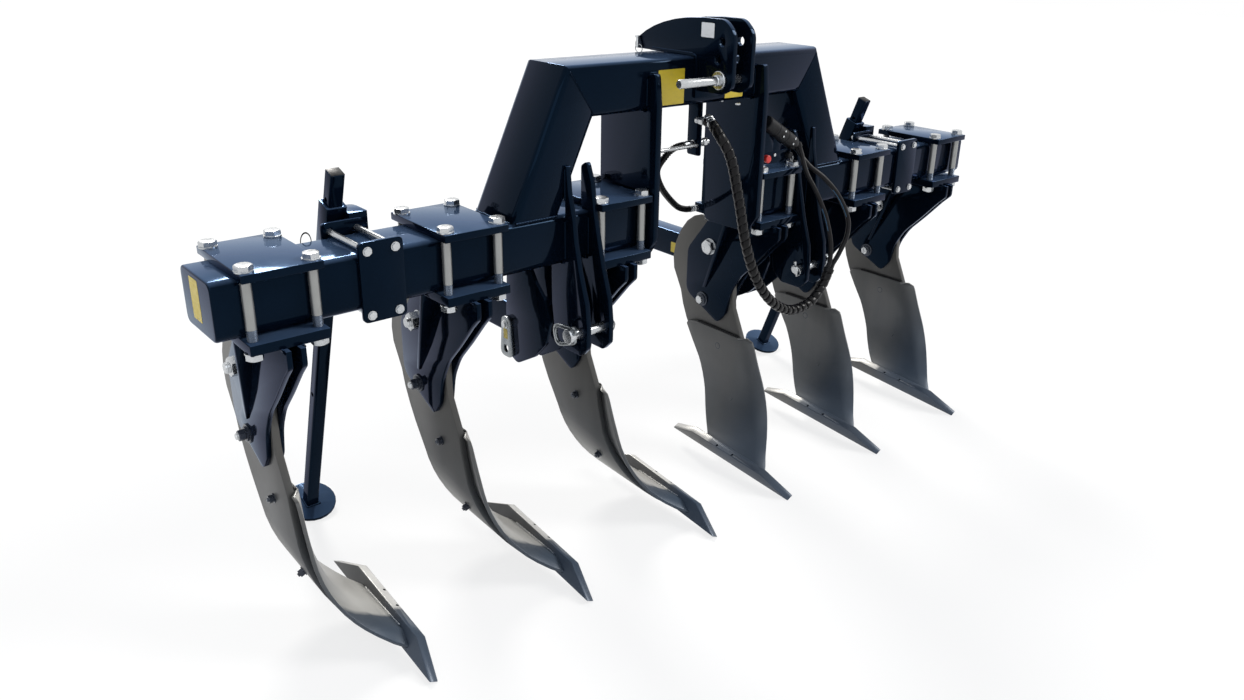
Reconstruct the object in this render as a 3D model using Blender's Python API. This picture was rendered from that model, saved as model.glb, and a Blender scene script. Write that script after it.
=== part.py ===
# Six-leg subsoiler with bent blades on an arched three-point frame.
# Metres, +Z up, ground at z = 0. X runs across the machine, -Y is the
# direction of travel (tractor side), +X is the machine's left.
import bpy
import bmesh
import math
from mathutils import Matrix, Vector

for old in list(bpy.data.objects):
    bpy.data.objects.remove(old, do_unlink=True)

# Overall placement: heights below are written from the clamp bolt plane
groundDrop = 1.05        # clamp bolt plane above the ground
depthShift = -0.168      # beam centre line to the middle of the whole depth
gap = 0.0003             # clearance kept between touching pieces

# Frame section, a rectangular hollow bar with rounded corners
sectionDepth = 0.190
sectionHeight = 0.140
sectionRound = 0.020
beamTopZ = -0.030
beamEndX = 1.459
slopeAngle = math.radians(65.0)
archTopZ = 0.362
archCornerX = 0.505

# Inner plates that close the beam halves and carry the top beam
innerPlateX = 0.210
innerPlateThick = 0.020

# Clamps, one for each leg
clampHalfX = 0.0925
plateToClamp = 0.0065    # inner plate to the first clamp
legPitch = 0.4915
firstLegX = innerPlateX + innerPlateThick + plateToClamp + clampHalfX
legX = {"r1": -firstLegX - 2 * legPitch, "r2": -firstLegX - legPitch, "r3": -firstLegX,
        "l3": firstLegX, "l2": firstLegX + legPitch, "l1": firstLegX + 2 * legPitch}
clampTopThick = 0.020
clampLowThick = 0.025
rodHalfX = 0.075
rodRadius = 0.012
rodPlay = 0.0025         # rod to the face of the bar
clampEdge = 0.0285       # rod centre to the edge of the plate
lowPlateGap = 0.002      # under the bar when the rods are tight
rodY = sectionDepth / 2 + rodRadius + rodPlay
clampHalfY = rodY + clampEdge
lowPlateTopZ = beamTopZ - sectionHeight - lowPlateGap

# Leg blade
bladeThick = 0.020
bendStartZ = -0.785
bendRadius = 0.245
bendEnd = math.radians(66.0)
bendClimb = math.tan(math.radians(2.6))   # the bend line rises to the rear
bendFrontY = -0.280
cheekGap = 0.0212
cheekThick = 0.013
wearThick = 0.012

# Share bar
shareThick = 0.027
shareHeight = 0.056
shareTilt = math.radians(26.0)
shareLength = 0.552
sharePitch = math.radians(5.2)
shareSkew = 0.015        # the share runs slightly inward to the rear
shareFrontCut = 0.104
shareRearCut = 0.120
tipU = 0.152
tipY = -0.404
tipZ = -1.0441

# Lower hitch
hitchGap = 0.065
hitchPlate = 0.015
clampToHitch = 0.002
hitchX = firstLegX + clampHalfX + clampToHitch + hitchPlate + hitchGap / 2
hitchPinY = -0.160
hitchPinZ = -0.356
hitchPinRadius = 0.014

# Top link
topGap = 0.060
topPlate = 0.015
topPinY = -0.194
topPinZ = 0.306
topPinRadius = 0.0125

# Parking stands
standX = {"right": (legX["r1"] + legX["r2"]) / 2, "left": (legX["l1"] + legX["l2"]) / 2}
standLean = math.radians(20.0)
standTopY = sectionDepth / 2 + 0.015
standTopZ = 0.122
standTube = 0.038
standFootRadius = 0.070
standFootThick = 0.010

paints = {
    "frame_paint": ((0.012, 0.016, 0.028, 1.0), 0.25, 0.0),
    "blade_grey": ((0.42, 0.42, 0.40, 1.0), 0.40, 0.5),
    "zinc": ((0.62, 0.62, 0.60, 1.0), 0.30, 1.0),
    "hose_black": ((0.02, 0.02, 0.022, 1.0), 0.60, 0.0),
}


def paint(obj, slot):
    colour, rough, metal = paints[slot]
    mat = bpy.data.materials.new(obj.name + "_" + slot)
    mat.use_nodes = True
    shader = mat.node_tree.nodes["Principled BSDF"]
    shader.inputs["Base Color"].default_value = colour
    shader.inputs["Roughness"].default_value = rough
    shader.inputs["Metallic"].default_value = metal
    obj.data.materials.clear()
    obj.data.materials.append(mat)


def meshObject(name, verts, faces):
    mesh = bpy.data.meshes.new(name)
    mesh.from_pydata([tuple(v) for v in verts], [], faces)
    bm = bmesh.new()
    bm.from_mesh(mesh)
    bmesh.ops.recalc_face_normals(bm, faces=bm.faces)
    bm.to_mesh(mesh)
    bm.free()
    obj = bpy.data.objects.new(name, mesh)
    bpy.context.scene.collection.objects.link(obj)
    return obj


# Loft through a list of rings that all have the same number of corners
def loft(name, rings):
    count = len(rings[0])
    verts = [p for ring in rings for p in ring]
    faces = [tuple(reversed(range(count)))]
    for r in range(len(rings) - 1):
        a = r * count
        b = a + count
        for i in range(count):
            j = (i + 1) % count
            faces.append((a + i, a + j, b + j, b + i))
    faces.append(tuple(range(len(verts) - count, len(verts))))
    return meshObject(name, verts, faces)


# Flat outline pulled along one axis
def prism(name, outline, axis, low, high):
    if axis == "x":
        rings = [[(v, p[0], p[1]) for p in outline] for v in (low, high)]
    elif axis == "y":
        rings = [[(p[0], v, p[1]) for p in outline] for v in (low, high)]
    else:
        rings = [[(p[0], p[1], v) for p in outline] for v in (low, high)]
    return loft(name, rings)


def rounded(halfA, halfB, radius, steps, centre=(0.0, 0.0)):
    points = []
    for k, (sa, sb) in enumerate(((1, 1), (-1, 1), (-1, -1), (1, -1))):
        for i in range(steps + 1):
            t = math.radians(90.0 * k + 90.0 * i / steps)
            points.append((centre[0] + sa * (halfA - radius) + radius * math.cos(t),
                           centre[1] + sb * (halfB - radius) + radius * math.sin(t)))
    return points


def circle(radius, count, centre=(0.0, 0.0), start=0.0):
    return [(centre[0] + radius * math.cos(start + 2 * math.pi * i / count),
             centre[1] + radius * math.sin(start + 2 * math.pi * i / count))
            for i in range(count)]


# Round the corners of a polygon; radii is one number or one for each corner
def fillet(outline, radius, steps=3):
    out = []
    n = len(outline)
    for i in range(n):
        p = Vector(outline[i])
        a = Vector(outline[i - 1]) - p
        b = Vector(outline[(i + 1) % n]) - p
        r = radius[i] if isinstance(radius, (list, tuple)) else radius
        angle = a.angle(b)
        if r <= 0 or angle > math.radians(172):
            out.append((p.x, p.y))
            continue
        cut = min(r / math.tan(angle / 2), a.length * 0.45, b.length * 0.45)
        start = p + a.normalized() * cut
        end = p + b.normalized() * cut
        for k in range(steps + 1):
            t = k / steps
            q = start * (1 - t) ** 2 + p * 2 * t * (1 - t) + end * t ** 2
            out.append((q.x, q.y))
    return out


def join(name, pieces):
    base = pieces[0]
    for other in pieces[1:]:
        mod = base.modifiers.new("join", "BOOLEAN")
        mod.operation = "UNION"
        mod.solver = "EXACT"
        mod.object = other
        bpy.context.view_layer.update()
        graph = bpy.context.evaluated_depsgraph_get()
        mesh = bpy.data.meshes.new_from_object(base.evaluated_get(graph))
        base.modifiers.clear()
        base.data = mesh
        bpy.data.objects.remove(other, do_unlink=True)
    base.name = name
    base.data.name = name
    return tidy(base)


def cut(base, tools):
    for other in tools:
        mod = base.modifiers.new("cut", "BOOLEAN")
        mod.operation = "DIFFERENCE"
        mod.solver = "EXACT"
        mod.object = other
        bpy.context.view_layer.update()
        graph = bpy.context.evaluated_depsgraph_get()
        mesh = bpy.data.meshes.new_from_object(base.evaluated_get(graph))
        base.modifiers.clear()
        base.data = mesh
        bpy.data.objects.remove(other, do_unlink=True)
    return tidy(base)


def tidy(obj):
    bm = bmesh.new()
    bm.from_mesh(obj.data)
    bmesh.ops.remove_doubles(bm, verts=bm.verts, dist=0.00002)
    bmesh.ops.dissolve_limit(bm, angle_limit=math.radians(0.2), verts=bm.verts, edges=bm.edges)
    bmesh.ops.triangulate(bm, faces=bm.faces)
    bmesh.ops.recalc_face_normals(bm, faces=bm.faces)
    bm.to_mesh(obj.data)
    bm.free()
    return obj


def box(name, x0, x1, y0, y1, z0, z1):
    return prism(name, [(y0, z0), (y1, z0), (y1, z1), (y0, z1)], "x", x0, x1)


# Frame beams, one on each side of the open middle
beamMidZ = beamTopZ - sectionHeight / 2
beamSection = rounded(sectionDepth / 2, sectionHeight / 2, sectionRound, 3, (0.0, beamMidZ))
innerEnd = innerPlateX + innerPlateThick + gap
for side, word in ((-1, "right"), (1, "left")):
    beam = prism("frame_beam_" + word, beamSection, "x",
                 min(side * innerEnd, side * beamEndX), max(side * innerEnd, side * beamEndX))
    paint(beam, "frame_paint")

# Arch: two sloping bars and a top bar, mitred where they meet
topMidZ = archTopZ - sectionHeight / 2
innerCornerX = archCornerX - sectionHeight / math.tan((math.pi - slopeAngle) / 2)
mitreRun = (archCornerX - innerCornerX) / sectionHeight
rings = []
for side in (-1, 1):
    ring = []
    for y, z in rounded(sectionDepth / 2, sectionHeight / 2, sectionRound, 3, (0.0, topMidZ)):
        x = archCornerX - (archTopZ - z) * mitreRun - gap / 2
        ring.append((side * x, y, z))
    rings.append(ring)
paint(loft("arch_top_beam", rings), "frame_paint")
slopeDir = (math.cos(slopeAngle), -math.sin(slopeAngle))
slopeNormal = (math.sin(slopeAngle), math.cos(slopeAngle))
for side, word in ((-1, "right"), (1, "left")):
    top = []
    bottom = []
    for y, t in rounded(sectionDepth / 2, sectionHeight / 2, sectionRound, 3,
                        (0.0, -sectionHeight / 2)):
        px = archCornerX + slopeNormal[0] * t
        pz = archTopZ + slopeNormal[1] * t
        # meet the mitre plane x = corner - (top - z) * run
        k = (archCornerX + gap / 2 - (archTopZ - pz) * mitreRun - px)
        k = k / (slopeDir[0] - slopeDir[1] * mitreRun)
        top.append((side * (px + slopeDir[0] * k), y, pz + slopeDir[1] * k))
        k = (beamTopZ + gap - pz) / slopeDir[1]
        bottom.append((side * (px + slopeDir[0] * k), y, beamTopZ + gap))
    paint(loft("arch_slope_" + word, [top, bottom]), "frame_paint")

# Inner plates: broad below the top bar, a rounded blade in front of it
underTopZ = archTopZ - sectionHeight - gap
frontFaceY = -sectionDepth / 2 - gap
innerOutline = fillet([(0.110, underTopZ), (frontFaceY, underTopZ), (frontFaceY, 0.322),
                       (frontFaceY - 0.0327, 0.330), (frontFaceY - 0.0427, 0.240),
                       (frontFaceY - 0.0427, -0.150), (frontFaceY - 0.0047, -0.205),
                       (0.080, -0.205), (0.110, -0.170)],
                      [0.004, 0.0, 0.004, 0.012, 0.05, 0.03, 0.03, 0.03, 0.02])
for side, word in ((-1, "right"), (1, "left")):
    xs = sorted((side * innerPlateX, side * (innerPlateX + innerPlateThick)))
    plate = prism("inner_plate_" + word, innerOutline, "x", xs[0], xs[1])
    if word == "left":
        # small port block for the centre hose on the rear edge
        plate = join("inner_plate_left", [plate, box("port", 0.208, 0.232, 0.100, 0.138,
                                                     -0.186, -0.154)])
    paint(plate, "frame_paint")

# Lower hitch: two tapered plates on each side with a pin through both
underBeamZ = beamTopZ - sectionHeight - gap
finOutline = fillet([(frontFaceY, 0.100), (frontFaceY - 0.0127, 0.096),
                     (frontFaceY - 0.0287, -0.030), (frontFaceY - 0.0587, -0.160),
                     (-0.184, -0.260), (-0.194, -0.330), (-0.194, -0.395), (-0.165, -0.424),
                     (-0.085, -0.424), (-0.045, -0.395), (-0.032, -0.300), (-0.032, underBeamZ),
                     (frontFaceY, underBeamZ)],
                    [0.004, 0.006, 0.08, 0.08, 0.06, 0.03, 0.02, 0.02, 0.02, 0.03, 0.03, 0, 0])
for side, word in ((-1, "right"), (1, "left")):
    for low, part in ((hitchX - hitchGap / 2 - hitchPlate, "inner"), (hitchX + hitchGap / 2, "outer")):
        xs = sorted((side * low, side * (low + hitchPlate)))
        plate = prism("hitch_plate_%s_%s" % (word, part), finOutline, "x", xs[0], xs[1])
        drill = prism("drill", circle(hitchPinRadius + gap, 20, (hitchPinY, hitchPinZ)), "x",
                      xs[0] - 0.01, xs[1] + 0.01)
        paint(cut(plate, [drill]), "frame_paint")
    reach = hitchGap / 2 + hitchPlate
    shaft = prism("shaft", circle(hitchPinRadius, 20, (hitchPinY, hitchPinZ)), "x",
                  hitchX - reach - 0.026, hitchX + reach + 0.030)
    head = prism("head", circle(0.022, 20, (hitchPinY, hitchPinZ)), "x",
                 hitchX + reach + 0.002, hitchX + reach + 0.022)
    grip = prism("grip", fillet([(hitchPinY - 0.018, hitchPinZ - 0.020),
                                 (hitchPinY - 0.018, hitchPinZ + 0.020),
                                 (hitchPinY + 0.075, hitchPinZ + 0.036),
                                 (hitchPinY + 0.075, hitchPinZ - 0.036)], 0.012, 3),
                 "x", hitchX + reach + 0.024, hitchX + reach + 0.034)
    opening = prism("opening", fillet([(hitchPinY + 0.006, hitchPinZ - 0.012),
                                       (hitchPinY + 0.006, hitchPinZ + 0.012),
                                       (hitchPinY + 0.062, hitchPinZ + 0.022),
                                       (hitchPinY + 0.062, hitchPinZ - 0.022)], 0.010, 2),
                    "x", hitchX + reach + 0.0235, hitchX + reach + 0.0345)
    block = box("block", hitchX + reach + 0.020, hitchX + reach + 0.036, hitchPinY - 0.010,
                hitchPinY + 0.012, hitchPinZ - 0.013, hitchPinZ + 0.013)
    pin = join("hitch_pin_" + word, [shaft, head, cut(grip, [opening]), block])
    if side < 0:
        for v in pin.data.vertices:
            v.co.x = -v.co.x
        pin.data.flip_normals()
    paint(pin, "zinc")

# Top link plates and their pin
topOutline = fillet([(0.168, archTopZ + gap), (0.160, 0.392), (0.098, 0.440), (-0.010, 0.470),
                     (-0.205, 0.472), (-0.240, 0.436), (-0.240, 0.288), (-0.200, 0.266),
                     (frontFaceY, 0.266), (frontFaceY, archTopZ + gap)],
                    [0.004, 0.02, 0.05, 0.08, 0.03, 0.03, 0.02, 0.02, 0, 0])
for side, word in ((-1, "right"), (1, "left")):
    xs = sorted((side * topGap / 2, side * (topGap / 2 + topPlate)))
    plate = prism("top_link_plate_" + word, topOutline, "x", xs[0], xs[1])
    drills = [prism("drill", circle(r, 20, (y, z)), "x", xs[0] - 0.01, xs[1] + 0.01)
              for y, z, r in ((topPinY, topPinZ, topPinRadius + gap), (-0.194, 0.410, 0.0128),
                              (-0.180, 0.360, 0.0128))]
    paint(cut(plate, drills), "frame_paint")
outerFace = topGap / 2 + topPlate
shaft = prism("shaft", circle(topPinRadius, 20, (topPinY, topPinZ)), "x", -0.205, outerFace + 0.034)
flange = prism("flange", circle(0.026, 24, (topPinY, topPinZ)), "x", -outerFace - 0.009,
               -outerFace - 0.001)
paint(join("top_link_pin", [shaft, flange]), "zinc")

# Clamp tops with their four rods
for key, cx in legX.items():
    plate = prism("plate", fillet([(cx - clampHalfX, -clampHalfY), (cx + clampHalfX, -clampHalfY),
                                   (cx + clampHalfX, clampHalfY), (cx - clampHalfX, clampHalfY)],
                                  0.006, 1), "z", beamTopZ + gap, beamTopZ + gap + clampTopThick)
    rods = []
    for sx in (-1, 1):
        for sy in (-1, 1):
            centre = (cx + sx * rodHalfX, sy * rodY)
            rods.append(prism("rod", circle(rodRadius, 12, centre), "z",
                              lowPlateTopZ + gap, beamTopZ + 0.010))
            rods.append(prism("head", circle(0.0205, 6, centre, math.pi / 6), "z",
                              beamTopZ + clampTopThick - 0.002, beamTopZ + clampTopThick + 0.016))
    paint(join("clamp_" + key, [plate] + rods), "frame_paint")

# Leg brackets: lower clamp plate, two cheeks and a tapered rib on each
lowPlateZ = lowPlateTopZ - clampLowThick
cheekTopZ = lowPlateZ + 0.007
cheekOutline = fillet([(0.135, cheekTopZ), (0.205, -0.290), (0.262, -0.365), (0.262, -0.528),
                       (0.096, -0.606), (0.060, -0.560), (0.044, -0.480), (0.008, -0.416),
                       (-0.060, -0.345), (-0.125, -0.272), (-0.158, -0.240), (-0.158, cheekTopZ)],
                      [0, 0.05, 0.06, 0.05, 0.022, 0.05, 0.16, 0.20, 0.16, 0.03, 0.02, 0])
for key, cx in legX.items():
    plate = prism("plate", fillet([(cx - clampHalfX, -clampHalfY), (cx + clampHalfX, -clampHalfY),
                                   (cx + clampHalfX, clampHalfY), (cx - clampHalfX, clampHalfY)],
                                  0.006, 1), "z", lowPlateZ, lowPlateTopZ)
    parts = [plate]
    for side in (-1, 1):
        xs = sorted((cx + side * cheekGap / 2, cx + side * (cheekGap / 2 + cheekThick)))
        parts.append(prism("cheek", cheekOutline, "x", xs[0], xs[1]))
        # rib running down and back along the cheek
        x0 = cx + side * (cheekGap / 2 + cheekThick * 0.5)
        x1 = cx + side * (cheekGap / 2 + cheekThick + 0.052)
        x2 = cx + side * (cheekGap / 2 + cheekThick + 0.004)
        ribs = []
        for dy in (-0.007, 0.007):
            ribs.append([(x0, 0.030 + dy, lowPlateZ + 0.005), (x1, 0.030 + dy, lowPlateZ + 0.005),
                         (x2, 0.168 + dy, -0.490), (x0, 0.168 + dy, -0.490)])
        parts.append(loft("rib", ribs))
    for sx in (-1, 1):
        for sy in (-1, 1):
            centre = (cx + sx * rodHalfX, sy * rodY)
            parts.append(prism("nut", circle(0.0205, 6, centre, math.pi / 6), "z",
                               lowPlateZ - 0.022, lowPlateZ + 0.004))
    paint(join("leg_bracket_" + key, parts), "frame_paint")

# Blade rows: height, front y, rear y; the bend follows below the straight part
straightRows = [
    (-0.232, 0.105, 0.212), (-0.245, 0.070, 0.250), (-0.270, 0.045, 0.284),
    (-0.310, 0.035, 0.315), (-0.365, 0.035, 0.340), (-0.420, 0.038, 0.350),
    (-0.465, 0.040, 0.345), (-0.505, 0.040, 0.323), (-0.540, 0.036, 0.304),
    (-0.590, 0.012, 0.290), (-0.640, -0.012, 0.268), (-0.690, -0.021, 0.240)]
bendRows = [(0.0, -0.046, 0.190), (0.2, -0.078, 0.160), (0.4, -0.112, 0.127), (0.6, -0.150, 0.093),
            (0.8, -0.196, 0.047)]
bladeEnd = (-0.248, -0.012)

# Wear plate rows: height, tip y, y where the lip leaves the blade, rear y
wearRows = [(-0.634, -0.034, -0.013, 0.212), (-0.641, -0.058, -0.016, 0.244),
            (-0.655, -0.066, -0.020, 0.252), (-0.675, -0.074, -0.023, 0.240),
            (-0.715, -0.090, -0.031, 0.215)]
wearBends = [(0.0, -0.118, -0.052, 0.182), (0.2, -0.145, -0.084, 0.152), (0.4, -0.174, -0.118, 0.119),
             (0.6, -0.205, -0.156, 0.085), (0.8, -0.240, -0.202, 0.040)]
wearEnd = (-0.286, -0.254, -0.018)
lipInner = 0.002         # offsets of the lip's two front corners from the blade's middle
lipOuter = -0.007


# Rows halfway between the listed ones, on a smooth curve through them
def halfway(rows):
    out = []
    for i in range(len(rows) - 1):
        near = [rows[max(i - 1, 0)], rows[i], rows[i + 1], rows[min(i + 2, len(rows) - 1)]]
        out.append(rows[i])
        out.append(tuple((9 * (b + c) - a - d) / 16 for a, b, c, d in zip(*near)))
    return out


def bladePoint(step, offset, y):
    angle = bendEnd * step
    u = bendRadius * (1 - math.cos(angle)) + offset * math.cos(angle)
    z = bendStartZ - bendRadius * math.sin(angle) + offset * math.sin(angle)
    return u, z + (y - bendFrontY) * bendClimb


# How far along the bend the blade meets the outer face of the share
def shareStep(offset, y):
    back = (y - tipY) / math.cos(sharePitch)
    low, high = 0.80, 1.20
    for k in range(30):
        step = (low + high) / 2
        u, z = bladePoint(step, offset, y)
        depth = ((u - tipU - back * shareSkew) * math.cos(shareTilt)
                 - (z - tipZ - back * math.sin(sharePitch)) * math.sin(shareTilt))
        if depth < -shareThick / 2 - gap:
            low = step
        else:
            high = step
    return low


# Corners of one cross-section as offset from the blade's middle and y
def bladeCorners(row):
    half = bladeThick / 2
    front, rear = row
    return [(-half, front), (-half, rear), (half, rear), (half, front)]


def wearCorners(row):
    low = bladeThick / 2 + gap
    tip, leave, rear = row
    return [(low, leave), (low, rear), (low + wearThick, rear), (low + wearThick, leave + 0.010),
            (lipInner, tip), (lipOuter, tip + 0.004)]


def bladeRings(cx, inward, corners, rows, bends, last):
    rings = []
    for row in rows:
        rings.append([(cx + inward * offset, y, row[0]) for offset, y in corners(row[1:])])
    for row in halfway(bends + [(1.0,) + last]) + [(None,) + last]:
        ring = []
        for offset, y in corners(row[1:]):
            step = shareStep(offset, y) if row[0] is None else row[0]
            u, z = bladePoint(step, offset, y)
            ring.append((cx + inward * u, y, z))
        rings.append(ring)
    return rings


for key, cx in legX.items():
    inward = 1 if cx < 0 else -1
    blade = loft("leg_" + key, bladeRings(cx, inward, bladeCorners, straightRows, bendRows, bladeEnd))
    paint(tidy(blade), "blade_grey")
    wear = loft("wear_plate_" + key, bladeRings(cx, inward, wearCorners, wearRows, wearBends, wearEnd))
    paint(tidy(wear), "blade_grey")
    # share: a reversible bar on edge, leaning inward, its tip low and ahead
    upU, upZ = math.sin(shareTilt), math.cos(shareTilt)
    rings = []
    for t in (-shareThick / 2, shareThick / 2):
        ring = []
        for b, h in ((0.0, 0.0), (shareLength, 0.0), (shareLength - shareRearCut, shareHeight),
                     (shareFrontCut, shareHeight)):
            u = tipU + upU * h + upZ * t + b * shareSkew
            z = tipZ + upZ * h - upU * t + b * math.sin(sharePitch)
            ring.append((cx + inward * u, tipY + b * math.cos(sharePitch), z))
        rings.append(ring)
    paint(tidy(loft("share_" + key, rings)), "blade_grey")

# Parking stands: square tubes that slide along their leaning axis
lean = (math.sin(standLean), -math.cos(standLean))
footZ = -groundDrop
standLength = (standTopZ - footZ - standFootThick) / math.cos(standLean)
for word, cx in standX.items():
    half = standTube / 2
    ring0, ring1 = [], []
    for a, b in rounded(half, half, 0.004, 1):
        # a runs across, b runs along the tilted depth direction
        y0 = standTopY + b * math.cos(standLean)
        z0 = standTopZ + b * math.sin(standLean)
        ring0.append((cx + a, y0, z0))
        k = (z0 - (footZ + standFootThick * 0.5)) / math.cos(standLean)
        ring1.append((cx + a, y0 + lean[0] * k, z0 + lean[1] * k))
    tube = loft("tube", [ring0, ring1])
    footY = standTopY + (standTopZ - footZ) * math.tan(standLean)
    foot = prism("foot", circle(standFootRadius, 24, (cx, footY)), "z", footZ,
                 footZ + standFootThick)
    stand = join("parking_stand_" + word, [tube, foot])
    origin = Vector((cx, standTopY, standTopZ))
    stand.data.transform(Matrix.Translation(-origin))
    stand.location = origin
    paint(stand, "frame_paint")

# Stand clamps: a front plate, four long rods and a sleeve behind the beam
plateHalfX = 0.057
boltHalfX = 0.036
clampBolt = 0.008
boltPlay = 0.0017
boltZ = (beamTopZ + clampBolt + boltPlay, beamTopZ - sectionHeight - clampBolt - boltPlay)
plateLowZ = boltZ[1] - 0.0183
plateHighZ = boltZ[0] + 0.0223
backFaceY = sectionDepth / 2 + gap
for word, cx in standX.items():
    front = prism("front", fillet([(cx - plateHalfX, plateLowZ), (cx + plateHalfX, plateLowZ),
                                   (cx + plateHalfX, plateHighZ), (cx - plateHalfX, plateHighZ)], 0.014, 3),
                  "y", frontFaceY - 0.012, frontFaceY)
    parts = [front]
    for sx in (-1, 1):
        for z in boltZ:
            centre = (cx + sx * boltHalfX, z)
            parts.append(prism("rod", circle(clampBolt, 12, centre), "y", frontFaceY - 0.019,
                               backFaceY - gap))
    paint(join("stand_clamp_" + word, parts), "frame_paint")
    back = prism("back", fillet([(cx - plateHalfX, plateLowZ), (cx + plateHalfX, plateLowZ),
                                 (cx + plateHalfX, plateHighZ), (cx - plateHalfX, plateHighZ)], 0.014, 3),
                 "y", backFaceY, backFaceY + 0.010)
    outer = 0.027
    inner = standTube / 2 + 0.0008
    tops = []
    for half in (outer, inner):
        ring0, ring1 = [], []
        for a, b in rounded(half, half, 0.005, 2):
            y0 = standTopY + b * math.cos(standLean)
            z0 = standTopZ + b * math.sin(standLean)
            start = 0.090 if half == outer else 0.05
            end = 0.260 if half == outer else 0.40
            ring0.append((cx + a, y0 + lean[0] * start, z0 + lean[1] * start))
            ring1.append((cx + a, y0 + lean[0] * end, z0 + lean[1] * end))
        tops.append(loft("sleeve", [ring0, ring1]))
    rearY = standTopY + 0.075
    web = prism("web", [(backFaceY + 0.004, -0.012), (backFaceY + 0.004, plateLowZ + 0.013),
                        (rearY, -0.120), (rearY - 0.035, -0.012)], "x", cx - 0.020, cx + 0.020)
    strap = prism("strap", fillet([(cx + 0.022, backFaceY + 0.006), (cx + 0.072, backFaceY + 0.006),
                                   (cx + 0.072, rearY), (cx + 0.022, rearY)],
                                  [0.0, 0.004, 0.022, 0.012], 3), "z", -0.060, 0.016)
    holder = join("stand_holder_" + word, [back, web, tops[0], strap])
    paint(cut(holder, [tops[1]]), "frame_paint")

# Rear arms held between two rounded plates under each beam half
armX = hitchX
sectorOutline = fillet([(0.190, underBeamZ), (0.205, -0.400), (0.200, -0.535), (0.150, -0.556),
                        (0.060, -0.505), (0.000, -0.445), (-0.024, -0.366), (0.002, -0.308),
                        (0.050, -0.262), (0.075, -0.225), (0.075, underBeamZ)],
                       [0, 0.04, 0.03, 0.03, 0.05, 0.05, 0.05, 0.05, 0.05, 0.03, 0], 3)
for side, word in ((-1, "right"), (1, "left")):
    parts = []
    for low in (armX - 0.0485, armX + 0.0365):
        xs = sorted((side * low, side * (low + 0.012)))
        parts.append(prism("sector", sectorOutline, "x", xs[0], xs[1]))
    parts.append(loft("arm", [[(x, y, z) for x, z in rounded(0.038, 0.050, 0.010, 2,
                                                              (side * armX, -0.428))]
                              for y in (0.110, 0.740)]))
    xs = sorted((side * (armX + 0.0480), side * (armX + 0.0600)))
    link = prism("link", fillet([(0.172, -0.412), (0.214, -0.412), (0.226, -0.545),
                                 (0.162, -0.545)], 0.022, 3), "x", xs[0], xs[1])
    eye = prism("eye", circle(0.012, 12, (0.194, -0.518)), "x", xs[0] - 0.01, xs[1] + 0.01)
    parts.append(cut(link, [eye]))
    parts.append(prism("spacer", circle(0.014, 12, (0.193, -0.436)), "x",
                       min(side * (armX + 0.020), side * (armX + 0.05)),
                       max(side * (armX + 0.020), side * (armX + 0.05))))
    paint(join("rear_arm_" + word, parts), "frame_paint")


# Smooth curve through the listed points, used for every hose
def smooth(points, steps):
    out = []
    n = len(points)
    for i in range(n - 1):
        p0 = Vector(points[max(i - 1, 0)])
        p1 = Vector(points[i])
        p2 = Vector(points[i + 1])
        p3 = Vector(points[min(i + 2, n - 1)])
        for k in range(steps):
            t = k / steps
            out.append(0.5 * ((2 * p1) + (p2 - p0) * t + (2 * p0 - 5 * p1 + 4 * p2 - p3) * t * t
                              + (3 * p1 - p0 - 3 * p2 + p3) * t ** 3))
    out.append(Vector(points[-1]))
    return out


# Each hose: radius, then its points; both ends run straight into what they meet
hosePoints = {
    "hose_bundle": (0.016, [(0.018, -0.0854, 0.168), (0.018, -0.096, 0.168), (0.017, -0.108, 0.167),
                            (0.002, -0.158, 0.140), (0.023, -0.190, 0.074), (0.042, -0.215, -0.051),
                            (0.064, -0.235, -0.187), (0.109, -0.245, -0.300),
                            (0.183, -0.250, -0.392), (0.282, -0.250, -0.446),
                            (0.384, -0.250, -0.440), (0.444, -0.250, -0.390),
                            (0.4609, -0.250, -0.3568), (0.4655, -0.250, -0.3479),
                            (0.4700, -0.250, -0.3390)]),
    "hose_upper_a": (0.008, [(0.4612, -0.250, -0.3342), (0.4657, -0.250, -0.3253),
                             (0.4690, -0.250, -0.3170), (0.469, -0.249, -0.270),
                             (0.462, -0.243, -0.220), (0.443, -0.230, -0.150),
                             (0.421, -0.205, -0.082), (0.404, -0.172, -0.022),
                             (0.4060, -0.142, 0.036), (0.4030, -0.1330, 0.0578),
                             (0.3972, -0.1316, 0.0618), (0.3903, -0.1316, 0.0658)]),
    "hose_upper_b": (0.008, [(0.4790, -0.250, -0.3433), (0.4835, -0.250, -0.3344),
                             (0.4886, -0.250, -0.3258), (0.512, -0.252, -0.296),
                             (0.541, -0.255, -0.240), (0.545, -0.250, -0.182),
                             (0.520, -0.225, -0.109), (0.475, -0.195, -0.048),
                             (0.432, -0.156, -0.004), (0.4130, -0.121, 0.040),
                             (0.4040, -0.1088, 0.0579), (0.3972, -0.1084, 0.0618),
                             (0.3903, -0.1084, 0.0658)]),
    "hose_centre": (0.010, [(0.0119, -0.036, 0.095), (0.004, -0.036, 0.095),
                            (-0.006, -0.036, 0.095), (-0.058, -0.034, 0.090),
                            (-0.089, -0.026, 0.066), (-0.094, 0.004, 0.016),
                            (-0.026, 0.052, -0.058), (0.084, 0.102, -0.139),
                            (0.150, 0.124, -0.167), (0.186, 0.125, -0.170),
                            (0.197, 0.125, -0.170), (0.2077, 0.125, -0.170)]),
}
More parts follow.
